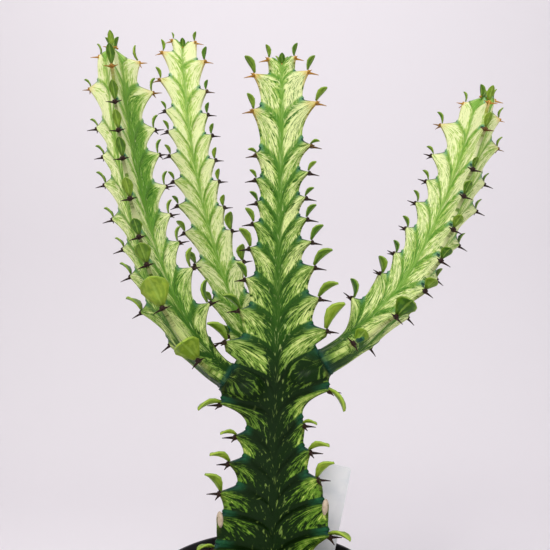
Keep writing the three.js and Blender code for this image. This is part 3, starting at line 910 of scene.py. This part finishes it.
# %% Flow lines, shelves and valleys
flow_share = band * step(fine, 0.3, 0.7, 0.95, 0.35) * step(pale, 0.5, 1.0, 1.0, 0.5)
line_green = blend(age_and_shade, blend(half_grown, "081f01", "2a620e"), "659a3c")
skin_colour = blend(flow_share, skin_colour, line_green)

shelf = band * step(rim, 0.72, 1.0) * step(streaks, 0.35, 0.6, 0.5, 0.9)
skin_colour = blend(shelf, skin_colour, blend(age_and_shade, "1c5636", "68a282"))

middle_wave = stretched_noise(lobe * 3.2, around * 5.0, 4.0, detail=2, roughness=0.6)
valley_edge = rim + (middle_wave - 0.5) * 0.3 + age_and_shade * 0.06
valley = step(valley_edge, 0.22, 0.08) * step(pale, 0.0, 1.0, 0.95, 0.75)
skin_colour = blend(valley, skin_colour, deep_green)
dashes = stretched_noise(lobe * 5.0, inner * 11.0, flank_side, detail=2, distortion=0.4)
dash_zone = step(rim, 0.6, 0.25) * step(dashes, 0.6, 0.72)
skin_colour = blend(dash_zone * 0.7, skin_colour, blend(pale, "739532", "dfe9a6"))
skin_colour = blend(arm * 0.4, skin_colour, blend(age_and_shade, "0a2402", "2f7322"))
print("nodes so far:", len(nodes))

# %% [markdown]
# The edge of a rib is brown: olive on old teeth, amber on the young ones near the tip. A dark line follows every
# shelf, and a blue-green ring, a painted highlight on the rounded lip, marks where a branch sits on the trunk.
# The skin is waxy, so it shines softly, and a little light passes through it.

# %% Edges, joints and the wax
edge_zone = step(rim, 0.955, 1.0)
edge_share = edge_zone * (step(phase, 0.2, 0.72) * step(phase, 0.86, 0.82, 0.0, 0.7))
skin_colour = blend(edge_share, skin_colour, blend(ripe, "4f5a18", "b58a3a"))
shelf_line = edge_zone * step(phase, 0.83, 0.88)
skin_colour = blend(shelf_line * 0.9, skin_colour, "153a31")
off_tip = maths("ABSOLUTE", phase - 0.8)
tooth_tip = step(rim, 0.72, 1.0) * step(off_tip, 0.13, 0.02) * (ripe * 0.65)
skin_colour = blend(tooth_tip, skin_colour, "d9a03c")
# Painted highlight: a blue-green ring on the lip where a branch sits.
skin_colour = blend(seat_highlight * 0.8, skin_colour, "154237")

dress_shader(skin_colour, step(cloud, 0.3, 0.7, 0.42, 0.58), streaks + fine * 0.5, 0.3, 0.001)
shader.inputs["Specular IOR Level"].default_value = 0.14
shader.inputs["Subsurface Weight"].default_value = 0.04
shader.inputs["Subsurface Radius"].default_value = (0.0012, 0.002, 0.0006)
for skin in skins.values():
    skin.data.materials.append(skin_paint)
print("nodes in the skin material:", len(nodes))

# %% [markdown]
# ## Leaves
# Every young tooth carries one small thick leaf, spoon shaped, folded along its midrib and curling back. A leaf
# could be cut from a plane by hand, but its fold and its curl have to be even, so the points of a small grid
# are set by rule. `leaf_line` is the midrib, and `leaf_outline` pairs places along it with half widths.


# %% The shape of a leaf
leaf_rows = (0, 0.28, 0.54, 0.76, 0.91, 1)
leaf_columns = 4
leaf_thickness = 0.075
leaf_outline = ((0, 0.2), (0.28, 0.68), (0.54, 1.0), (0.76, 0.88), (0.91, 0.54), (1, 0.1))
leaf_fold = 0.45
leaf_recurve = math.radians(44)
leaf_half_width = 0.26


def leaf_line(share):
    """The midrib of a leaf that heads along X: its place along X and Z, in leaf lengths."""
    steps = np.linspace(0, share, 24)
    angle = leaf_recurve * (0.3 - steps)
    return float(np.mean(np.cos(angle))) * share, float(np.mean(np.sin(angle))) * share


def make_leaf(width):
    deselect_all()
    bpy.ops.mesh.primitive_grid_add(x_subdivisions=len(leaf_rows) - 1, y_subdivisions=leaf_columns, size=1)
    leaf = bpy.context.object
    leaf.name = "leaf_model"
    layers = {name: leaf.data.attributes.new(name, "FLOAT", "POINT") for name in ("leaf_run", "leaf_side")}
    for vertex in leaf.data.vertices:
        run = leaf_rows[round((vertex.co.x + 0.5) * (len(leaf_rows) - 1))]
        side = vertex.co.y * 2
        layers["leaf_run"].data[vertex.index].value = run
        layers["leaf_side"].data[vertex.index].value = side
        half = width * np.interp(run, *np.array(leaf_outline).T)
        x, z = leaf_line(run)
        vertex.co = (x, side * half, z + leaf_fold * abs(side) * half)
    thick = leaf.modifiers.new("thickness", "SOLIDIFY")
    thick.thickness = leaf_thickness
    thick.offset = 0
    only(leaf)
    bpy.ops.object.modifier_apply(modifier="thickness")
    bpy.ops.object.shade_smooth()
    return leaf


unit_leaf = make_leaf(leaf_half_width)
print("faces of a leaf:", len(unit_leaf.data.polygons))

# %% [markdown]
# A leaf is evenly green with soft veins, a paler midrib and margin, and a duller foot. `leaf_tint` differs from
# leaf to leaf: old leaves are more yellow. Leaves shine more than the skin, and light glows through them.

# %% Leaf green
leaf_paint, nodes, links, shader = new_material("leaf_green", roughness=0.42)
run, side, tint = attribute("leaf_run"), attribute("leaf_side"), attribute("leaf_tint")
off_midrib = maths("ABSOLUTE", side)
veins = stretched_noise(run * 3.0, side * 2.5, tint * 40.0, detail=3)
leaf_colour = blend(step(veins, 0.42, 0.62), blend(tint, "2f5c08", "7f9e22"), blend(tint, "4c7a12", "9fb838"))
leaf_colour = blend(step(off_midrib, 0.16, 0.03, 0.0, 0.45), leaf_colour, "a3c250")
leaf_colour = blend(step(off_midrib, 0.72, 1.0, 0.0, 0.5), leaf_colour, "a6bf4a")
leaf_colour = blend(step(run, 0.2, 0.0, 0.0, 0.5), leaf_colour, "6f8a2c")
dress_shader(leaf_colour, step(veins, 0.2, 0.8, 0.36, 0.52), veins, 0.25, 0.0006)
shader.inputs["Specular IOR Level"].default_value = 0.3
shader.inputs["Subsurface Weight"].default_value = 0.1
shader.inputs["Subsurface Radius"].default_value = (0.001, 0.002, 0.0004)
unit_leaf.data.materials.append(leaf_paint)
print("nodes in the leaf material:", len(nodes))

# %% [markdown]
# ## Spines and pads
# Under each leaf two slim spines spread sideways from a dark woody pad. A spine is a narrow cone, cut twice
# with bisect so that it can narrow in the middle and bend a little down at its tip.

# %% One spine
spine_sides = 6
spine_radius = 0.16
spine_tip_radius = 0.025
spine_waist = 0.2
spine_bend = 0.08

bpy.ops.mesh.primitive_cone_add(vertices=spine_sides, radius1=spine_radius, radius2=spine_tip_radius, depth=1.0,
                                location=(0, 0, 0.5))
unit_spine = bpy.context.object
unit_spine.name = "spine_model"
only(unit_spine)
bpy.ops.object.transform_apply(location=True)
for height in (0.3, 0.65):
    reshape(unit_spine, bpy.ops.mesh.bisect, plane_co=(0, 0, height), plane_no=(0, 0, 1))
face_outwards(unit_spine)
for vertex in unit_spine.data.vertices:
    height = vertex.co.z
    pinch = 1 - spine_waist * math.sin(math.pi * min(height, 1)) * (height > 0.1)
    vertex.co.x *= pinch
    vertex.co.y = vertex.co.y * pinch - spine_bend * height * height
bpy.ops.object.shade_smooth()
print("faces of a spine:", len(unit_spine.data.polygons))

# %% [markdown]
# A pad is a small flattened ball, and there are hundreds, so it has few faces. A callus is the dry patch that
# closes a wound where a branch broke off. There are only two, so they may be rounder.


# %% Pads and calluses
def make_ball(name, fineness):
    deselect_all()
    bpy.ops.mesh.primitive_ico_sphere_add(subdivisions=fineness, radius=1, location=(0, 0, 0))
    ball = bpy.context.object
    ball.name = name
    bpy.ops.object.shade_smooth()
    return ball


unit_pad = make_ball("pad_model", 1)
unit_callus = make_ball("callus_model", 3)
print("faces of a pad and a callus:", len(unit_pad.data.polygons), len(unit_callus.data.polygons))

# %% [markdown]
# Spines and pads are amber while the tooth is young and nearly black later, which `thorn_age` tells. The callus
# is pale and corky.

# %% Thorn brown and callus
thorn_paint, nodes, links, shader = new_material("thorn_brown", roughness=0.5)
grain = noise(900)
old_brown, amber = blend(grain, "120908", "3a231b"), blend(grain, "8a5a1c", "d29c3e")
thorn_colour = blend(attribute("thorn_age"), old_brown, amber)
dress_shader(thorn_colour, step(grain, 0.2, 0.8, 0.4, 0.65), grain, 0.4, 0.0004)
shader.inputs["Specular IOR Level"].default_value = 0.2
unit_spine.data.materials.append(thorn_paint)
unit_pad.data.materials.append(thorn_paint)

callus_paint, nodes, links, shader = new_material("dry_callus", roughness=0.8)
cork = noise(700, detail=4)
dress_shader(blend(cork, "8f7a60", "dccbb4"), step(cork, 0.2, 0.8, 0.7, 0.9), cork, 0.7, 0.0006)
unit_callus.data.materials.append(callus_paint)
print("materials:", thorn_paint.name, callus_paint.name)

# %% [markdown]
# A copy is turned by a matrix whose columns are the directions of its own X, Y and Z, and is then written into
# the mesh, so that all pieces stay at the origin. `room_for` shrinks the few leaves and spines that would stick
# out of the box of the solids.


# %% Copies with meshes of their own
box_margin = 0.1 * mm
box_low = [v + box_margin for v in cad_box[0]]
box_high = [v - box_margin for v in cad_box[1]]


def room_for(copy, origin):
    """How much a copy must shrink about its seat so that it stays in the box of the solids."""
    fit = 1.0
    for vertex in copy.data.vertices:
        for place, seat, low, high in zip(vertex.co, origin, box_low, box_high):
            if place > high > seat:
                fit = min(fit, (high - seat) / (place - seat))
            if place < low < seat:
                fit = min(fit, (low - seat) / (place - seat))
    return fit


def placed_copy(model, origin, x_axis, y_axis, z_axis, size, values):
    copy = model.copy()
    copy.data = model.data.copy()
    bpy.context.scene.collection.objects.link(copy)
    turn = Matrix((x_axis, y_axis, z_axis)).transposed().to_4x4()
    scale = Matrix.Diagonal((*size, 1))
    move = Matrix.Translation(origin)
    copy.data.transform(move @ turn @ scale)
    fit = room_for(copy, origin)
    if fit < 1:
        copy.data.transform(move @ Matrix.Scale(fit, 4) @ Matrix.Translation(-Vector(origin)))
    for name, value in values.items():
        layer = copy.data.attributes.new(name, "FLOAT", "POINT")
        layer.data.foreach_set("value", np.full(len(copy.data.vertices), value, np.float32))
    return copy


def unit(vector):
    return vector / np.linalg.norm(vector)


print("copies keep", box_margin / mm, "mm from the box")

# %% [markdown]
# ## Dressing a tooth
# First the leaf. `heading` is the way that it grows and `lift` the way that its upper face looks. Leaves on the
# branches strive upwards. All leaves roll a little, so that the outside of one half is seen from the front.


# %% The leaf of a tooth
leaf_seat = (1.6, 0.8)
leaf_trim = 0.95
tip_trim = 0.86
leaf_broad = (1.35, 0.9)
leaf_broadest = 0.42
leaf_uprightness = 0.3
leaf_roll = 0.45
big_leaf = 15
dice = random.Random(7)


def set_leaf(stem, share, place, out, up, leaf_length, leaf_rise):
    length = leaf_length * (leaf_trim if share < ripening[1] else tip_trim) * mm
    seat = (place - out * leaf_seat[0] + up * leaf_seat[1]) * mm
    rise = math.radians(leaf_rise)
    heading = out * math.cos(rise) + up * math.sin(rise)
    lift = -out * math.sin(rise) + up * math.cos(rise)
    if stem is not main_stem:
        heading = unit(heading + np.array([0, 0, leaf_uprightness]))
    lift = lift + np.array([0, leaf_roll, 0])
    lift = unit(np.cross(heading, np.cross(lift, heading)))
    broad = np.interp(share, (0.2, 0.6), leaf_broad) * np.interp(share, (0, 1), stem["leaf_width"])
    width = min(broad, leaf_broadest) / leaf_half_width
    old = (stem is main_stem and share < 0.5) or leaf_length > big_leaf
    tint = dice.uniform(0.6, 1.0) if old else dice.uniform(0.0, 0.6)
    return placed_copy(unit_leaf, seat, heading, np.cross(lift, heading), lift,
                       (length, length * width, length), {"leaf_tint": tint})


print("the broadest leaf is", 2 * leaf_broadest, "of its length")

# %% [markdown]
# Then the two spines and the pad from which they grow. A leaf length of 0 in the tables means no leaf.


# %% The spines and the pad of a tooth
spine_seat = (1.3, -0.9)
spine_trim = 1.25
spread = 1.0
droop = 0.03
pad_seat = (0.8, -0.3)
pad_sizes = (1.7, 1.2)
pad_shape = (0.75, 1, 0.85)


def dress_tooth(stem, rib, tooth):
    height, reach, _, leaf_length, leaf_rise = tooth
    share = min(height / stem["axis"]["length"], 1)
    centre, out, side, up = stand(stem, rib, height)
    age = {"thorn_age": float(smooth(share, *ripening))}
    place = centre + out * (reach + edge_out * 0.8 * np.interp(share, (0, 1), stem["edge"]))
    made = [set_leaf(stem, share, place, out, up, leaf_length, leaf_rise)] if leaf_length else []
    length = spine_trim * np.interp(share, (0, 1), stem["spine_length"]) * mm
    seat = (place - out * spine_seat[0] + up * spine_seat[1]) * mm
    for turn in (-1, 1):
        pointing = unit(out + side * spread * turn - up * droop)
        other = unit(np.cross(up, pointing))
        size = (length, length, length * dice.uniform(0.9, 1.05))
        made.append(placed_copy(unit_spine, seat, other, np.cross(pointing, other), pointing, size, age))
    pad = np.interp(share, (0, 1), pad_sizes) * mm
    seat = (place - out * pad_seat[0] + up * pad_seat[1]) * mm
    made.append(placed_copy(unit_pad, seat, out, side, up, [pad * k for k in pad_shape], age))
    return made


print("a spine is up to", spine_trim * max(s["spine_length"][0] for s in (main_stem, *branches)), "mm long")

# %% [markdown]
# Small upright leaves stand round the growing tip of every stem, between the last teeth of its ribs. Low on the
# trunk, two teeth are only calluses.


# %% The crown and the scars
crown_leaf = 7.0
crown_rise = math.radians(80)
crown_seats = (1.8, 2.4)
crown_pad = (0.7, 0.9, 0.6)
scar_seat = (0.6, 1.5)
scar_size = (1.5, 2.6, 4.2)


def crown(stem):
    axis = stem["axis"]
    made = []
    for rib in stem["ribs"]:
        centre, up, _, _ = along_axis(axis, axis["length"] - tip_depth - 1)
        out = rib_direction(stem, axis, axis["length"], rib["angle"] + 60)
        heading = out * math.cos(crown_rise) + up * math.sin(crown_rise)
        lift = -out * math.sin(crown_rise) + up * math.cos(crown_rise)
        length = crown_leaf * dice.uniform(0.8, 1.0) * mm
        seat, pad_place = ((centre + out * far) * mm for far in crown_seats)
        made.append(placed_copy(unit_leaf, seat, heading, np.cross(lift, heading), lift,
                                (length, length, length), {"leaf_tint": dice.uniform(0.1, 0.4)}))
        made.append(placed_copy(unit_pad, pad_place, out, np.cross(up, out), up,
                                [k * mm for k in crown_pad], {"thorn_age": 1.0}))
    return made


def scar(stem, rib, tooth):
    height, reach = tooth[0], tooth[1]
    centre, out, side, up = stand(stem, rib, height)
    seat = (centre + out * (reach - scar_seat[0]) - up * scar_seat[1]) * mm
    return placed_copy(unit_callus, seat, out, side, up, [k * mm for k in scar_size], {})


print("a callus is", 2 * scar_size[2], "mm high")

# %% [markdown]
# Skin, leaves, spines and pads of a stem are joined into one piece, which takes the place of the stem's solid.
# On the trunk, bare teeth above `lowest_seat` carry a branch or nothing, and those below it a callus.


# %% Dress the stems
lowest_seat = 100


def dress_stem(stem):
    parts = [skins[stem["name"]]]
    for rib in stem["ribs"]:
        for tooth in rib["teeth"]:
            bare = stem is main_stem and tooth[3] == 0
            if not bare:
                parts += dress_tooth(stem, rib, tooth)
            elif tooth[0] < lowest_seat:
                parts.append(scar(stem, rib, tooth))
    parts += crown(stem)
    only(*parts)
    bpy.ops.object.join()
    piece = bpy.context.object
    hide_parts(stem["name"])
    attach(piece, "root")
    return piece


pieces = [dress_stem(stem) for stem in (main_stem, *branches)]
for model in (unit_leaf, unit_spine, unit_pad, unit_callus):
    bpy.data.objects.remove(model)
for piece in pieces:
    print(piece.name, "faces:", len(piece.data.polygons))

# %% [markdown]
# ## The nursery pot
# The pot is made of thin black plastic. It tapers, has a raised ring low on its wall and a stiff band under its
# rim, and is rounded at the lip and the foot. Every cut across it is a circle, so its wall is drawn once, as a
# line from the middle of the underside over the lip to the middle of the floor inside.


# %% The pot's profile
rim_radius = 59.98
pot_height = 100
pot_wall = 1.6
pot_floor = 2.6
foot_radius = 43
foot_round = 3
underside = [(0, 1.0), (34, 1.0), (36, 0.0)]
raised_ring = ((22, 0), (22.6, 0.3), (24, 0.3), (24.6, 0))
band_height = 13
band_step = 2.4
band_round = 0.8
lip_radius = 0.7


def wall_radius(height):
    return foot_radius + (rim_radius - band_step - foot_radius) * height / (pot_height - band_height)


def arc(x, z, radius, start, end, count):
    turns = np.radians(np.linspace(start, end, count))
    return [(x + radius * math.cos(turn), z + radius * math.sin(turn)) for turn in turns]


lip_height = pot_height - lip_radius
outline = underside + arc(foot_radius - foot_round, foot_round, foot_round, -90, -12, 5)
outline += [(wall_radius(z) + out, z) for z, out in (*raised_ring, (60, 0), (85.8, 0))]
outline += [(wall_radius(87) + 0.7, 86.6), *arc(rim_radius - 0.9, 87.7, band_round, -80, 0, 4)]
outline += arc(rim_radius - lip_radius, lip_height, lip_radius, 0, 90, 4)
outline += arc(rim_radius - pot_wall + lip_radius, lip_height, lip_radius, 90, 180, 4)
outline += [(rim_radius - pot_wall, 90.2), (wall_radius(87) - pot_wall + 0.4, 87.6)]
outline += [(wall_radius(86) - pot_wall, 86), (wall_radius(4) - pot_wall, 4.4)]
outline += [(wall_radius(2) - pot_wall - 2, pot_floor), (0, pot_floor)]
print("points in the profile:", len(outline))

# %% [markdown]
# The line is spun round the upright axis, as on a potter's wheel. The six drain holes are cut with a boolean:
# six cylinders are joined into one cutter, which is removed afterwards.


# %% Spin the pot and cut its holes
spin_steps = 72
hole_count = 6
hole_ring = 29 * mm
hole_radius = 4 * mm
hole_sides = 24
cutter_depth = 20 * mm


def spun(name, section, steps):
    """A surface made by spinning a line, whose points are a radius and a height, round the upright axis."""
    piece = drawn_line(name, [(radius * mm, 0, height * mm) for radius, height in section])
    reshape(piece, bpy.ops.mesh.spin, steps=steps, angle=math.tau, center=(0, 0, 0), axis=(0, 0, 1))
    close_up(piece)
    return piece


pot = spun("pot_shell", outline, spin_steps)
cutters = []
for k in range(hole_count):
    turn = math.tau * k / hole_count
    spot = (hole_ring * math.cos(turn), hole_ring * math.sin(turn), 0)
    bpy.ops.mesh.primitive_cylinder_add(vertices=hole_sides, radius=hole_radius, depth=cutter_depth,
                                        location=spot)
    cutters.append(bpy.context.object)
only(*cutters)
bpy.ops.object.join()
cutter = bpy.context.object
cut = pot.modifiers.new("drain_holes", "BOOLEAN")
cut.object = cutter
cut.solver = "EXACT"
only(pot)
bpy.ops.object.modifier_apply(modifier="drain_holes")
bpy.data.objects.remove(cutter)
bpy.ops.object.shade_smooth_by_angle(angle=math.radians(35))
print("pot faces:", len(pot.data.polygons), "box mm:", [round(v / mm, 1) for v in pot.dimensions])

# %% [markdown]
# The plastic is nearly black with a little grey dust, which also makes it duller in places. A fine grain breaks
# up its shine.

# %% Black plastic
pot_paint, nodes, links, shader = new_material("black_nursery_plastic", roughness=0.42)
dust = noise(45, detail=5)
plastic = blend(step(dust, 0.45, 0.75), "101012", "242326")
dress_shader(plastic, step(dust, 0.3, 0.7, 0.34, 0.56), noise(1400), 0.12, 0.0004)
pot.data.materials.append(pot_paint)
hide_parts("pot")
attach(pot, "root")
print("nodes in the pot's plastic:", len(nodes))

# %% [markdown]
# ## Potting mix
# The mix fills the pot and mounds up a little round the trunk. Its body is spun like the pot, with many rings on
# top, and the points of those rings are then lifted and lowered by a sum of waves into soft lumps.


# %% The body of the soil
soil_top = 88
soil_mound = 1.5
soil_sink = 0.9
soil_gap = 0.4
soil_foot_inset = 2.6
soil_rings = 26
soil_sides = 64
mound_radius = 54
lump_height = 0.11
lump_count = 26
dice = random.Random(11)
rng = np.random.default_rng(5)
lump_waves = [(rng.uniform(0.1, 0.9), rng.uniform(0, math.tau), rng.uniform(0, math.tau))
              for _ in range(lump_count)]


def soil_height(x, y):
    far = math.hypot(x, y) / mound_radius
    lumps = sum(math.sin(k * (x * math.cos(a) + y * math.sin(a)) + b) for k, a, b in lump_waves) * lump_height
    return soil_top + soil_mound * (1 - far * far) + lumps * (1 if far < 0.97 else 0.4) - soil_sink


def soil_radius(height):
    return wall_radius(height) - pot_wall - soil_gap


rim_of_soil = soil_radius(soil_top)
bottom = pot_floor + soil_gap
section = [(0, bottom), (wall_radius(2) - pot_wall - soil_foot_inset, bottom)]
section += [(soil_radius(z), z) for z in (5, 30, 60, 85)]
section += [((rim_of_soil - 0.4) * (1 - k / soil_rings), soil_top) for k in range(soil_rings + 1)]
soil = spun("potting_soil", section, soil_sides)
for vertex in soil.data.vertices:
    if vertex.co.z > (soil_top - 1) * mm:
        vertex.co.z = soil_height(vertex.co.x / mm, vertex.co.y / mm) * mm
bpy.ops.object.shade_smooth()
print("faces of the soil's body:", len(soil.data.polygons))

# %% [markdown]
# The mix is dark peat with brown bark chips and a few pale grains of pumice. One material serves all three:
# `crumb_tone` is 0 for peat, in between for bark and 1 for pumice.

# %% Peat, bark and pumice
soil_paint, nodes, links, shader = new_material("peat_and_bark", roughness=0.92)
grit, crumb_tone = noise(380, detail=6), attribute("crumb_tone")
peat = blend(step(grit, 0.35, 0.68), "1d130d", "4a3423")
bark = blend(step(grit, 0.3, 0.7), "5a3d26", "8a6543")
pumice = blend(step(grit, 0.3, 0.7), "a79e8f", "d8d2c4")
earth = blend(step(crumb_tone, 0.85, 1.0), blend(step(crumb_tone, 0.0, 0.6), peat, bark), pumice)
dress_shader(earth, step(grit, 0.2, 0.8, 0.82, 0.98), grit, 0.8, 0.0009)
soil.data.materials.append(soil_paint)
print("nodes in the soil's material:", len(nodes))

# %% [markdown]
# The crumbs are copies of two small stones, a flat chip and a rounder grain, whose points were pushed about at
# random. Each has its own place, turn and size. The square root spreads them evenly over the disc.

# %% Crumbs
chip_shape = (1, 0.75, 0.5)
grain_shape = (1, 0.85, 0.8)
unevenness = (0.78, 1.12)
crumb_sizes = (0.8, 2.2)
crumb_count = 420
pale_share = 0.12
crumb_edge = 3.6

crumb_models = []
for shape in (chip_shape, grain_shape):
    crumb = make_ball("crumb_model", 1)
    for vertex in crumb.data.vertices:
        vertex.co = vertex.co * dice.uniform(*unevenness) * Vector(shape)
    bpy.ops.object.shade_flat()
    crumb.data.materials.append(soil_paint)
    crumb_models.append(crumb)
chip, pale_grain = crumb_models

crumbs = []
while len(crumbs) < crumb_count:
    far = (rim_of_soil - crumb_edge) * math.sqrt(dice.random())
    turn = dice.uniform(0, math.tau)
    x, y = far * math.cos(turn), far * math.sin(turn)
    size = dice.uniform(*crumb_sizes) * mm
    spin = Matrix.Rotation(dice.uniform(0, math.tau), 3, Vector((dice.uniform(-1, 1), dice.uniform(-1, 1), 2)))
    pale = dice.random() < pale_share
    tone = 1.0 if pale else dice.uniform(0, 0.7)
    spot = Vector((x * mm, y * mm, soil_height(x, y) * mm + size * 0.2))
    crumbs.append(placed_copy(pale_grain if pale else chip, spot, *spin.col, [size] * 3, {"crumb_tone": tone}))
only(soil, *crumbs)
bpy.ops.object.join()
for model in crumb_models:
    bpy.data.objects.remove(model)
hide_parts("soil")
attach(soil, "root")
print("soil faces:", len(soil.data.polygons))

# %% [markdown]
# ## The plant label
# The label is a thin strip of white plastic, pushed into the mix behind the trunk and leaning to the right. A
# box is sized to it, the two upright corners at its top are rounded with bevel, all its edges are softened, and
# it is then leaned about its foot.

# %% The label's shape
label_size = Vector((18, 90, 0.9))
label_foot = Vector((21.3, 24, 60))
label_lean = math.radians(11.7)
label_corner = 2.0
label_raise = 3.0
label_soft_edge = 0.12

bpy.ops.mesh.primitive_cube_add(size=1, location=(0, 0, 0))
label = bpy.context.object
label.name = "white_label"
label.scale = label_size.xzy * mm
only(label)
bpy.ops.object.transform_apply(scale=True)
bpy.ops.object.mode_set(mode="EDIT")
bpy.ops.mesh.select_mode(type="EDGE")
bpy.ops.mesh.select_all(action="DESELECT")
bpy.ops.object.mode_set(mode="OBJECT")
for edge in label.data.edges:
    a, b = (label.data.vertices[i].co for i in edge.vertices)
    edge.select = abs(a.x - b.x) < 1e-6 and abs(a.z - b.z) < 1e-6 and a.z > 0
bpy.ops.object.mode_set(mode="EDIT")
bpy.ops.mesh.bevel(offset=label_corner * mm, segments=5)
bpy.ops.mesh.select_mode(type="VERT")
bpy.ops.object.mode_set(mode="OBJECT")
face_outwards(label)
soften = label.modifiers.new("soft_edges", "BEVEL")
soften.width = label_soft_edge * mm
soften.segments = 2
soften.limit_method = "ANGLE"
bpy.ops.object.modifier_apply(modifier="soft_edges")
bpy.ops.object.shade_smooth_by_angle(angle=math.radians(40))
lean = Matrix.Translation(label_foot * mm) @ Matrix.Rotation(label_lean, 4, "Y")
label.data.transform(lean @ Matrix.Translation((0, 0, (label_size.y / 2 + label_raise) * mm)))
print("label faces:", len(label.data.polygons))

# %% [markdown]
# The label is a clean cool white. Faint wear makes its shine a little uneven, as on handled plastic.

# %% White plastic
label_paint, nodes, links, shader = new_material("white_label_plastic", roughness=0.38)
wear = noise(90, detail=4)
white = blend(step(wear, 0.4, 0.7), "fbfbfd", "eef0f4")
dress_shader(white, step(wear, 0.3, 0.7, 0.3, 0.45), wear, 0.08, 0.0005)
label.data.materials.append(label_paint)
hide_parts("plant_label")
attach(label, "root")
low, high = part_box("plant_label")
print("label box mm:", [round(v / mm, 1) for v in label.dimensions], [round(v / mm, 1) for v in high - low])

# %% Sizes and finish
print("cad mm:", [[round(v / mm, 1) for v in c] for c in cad_box])
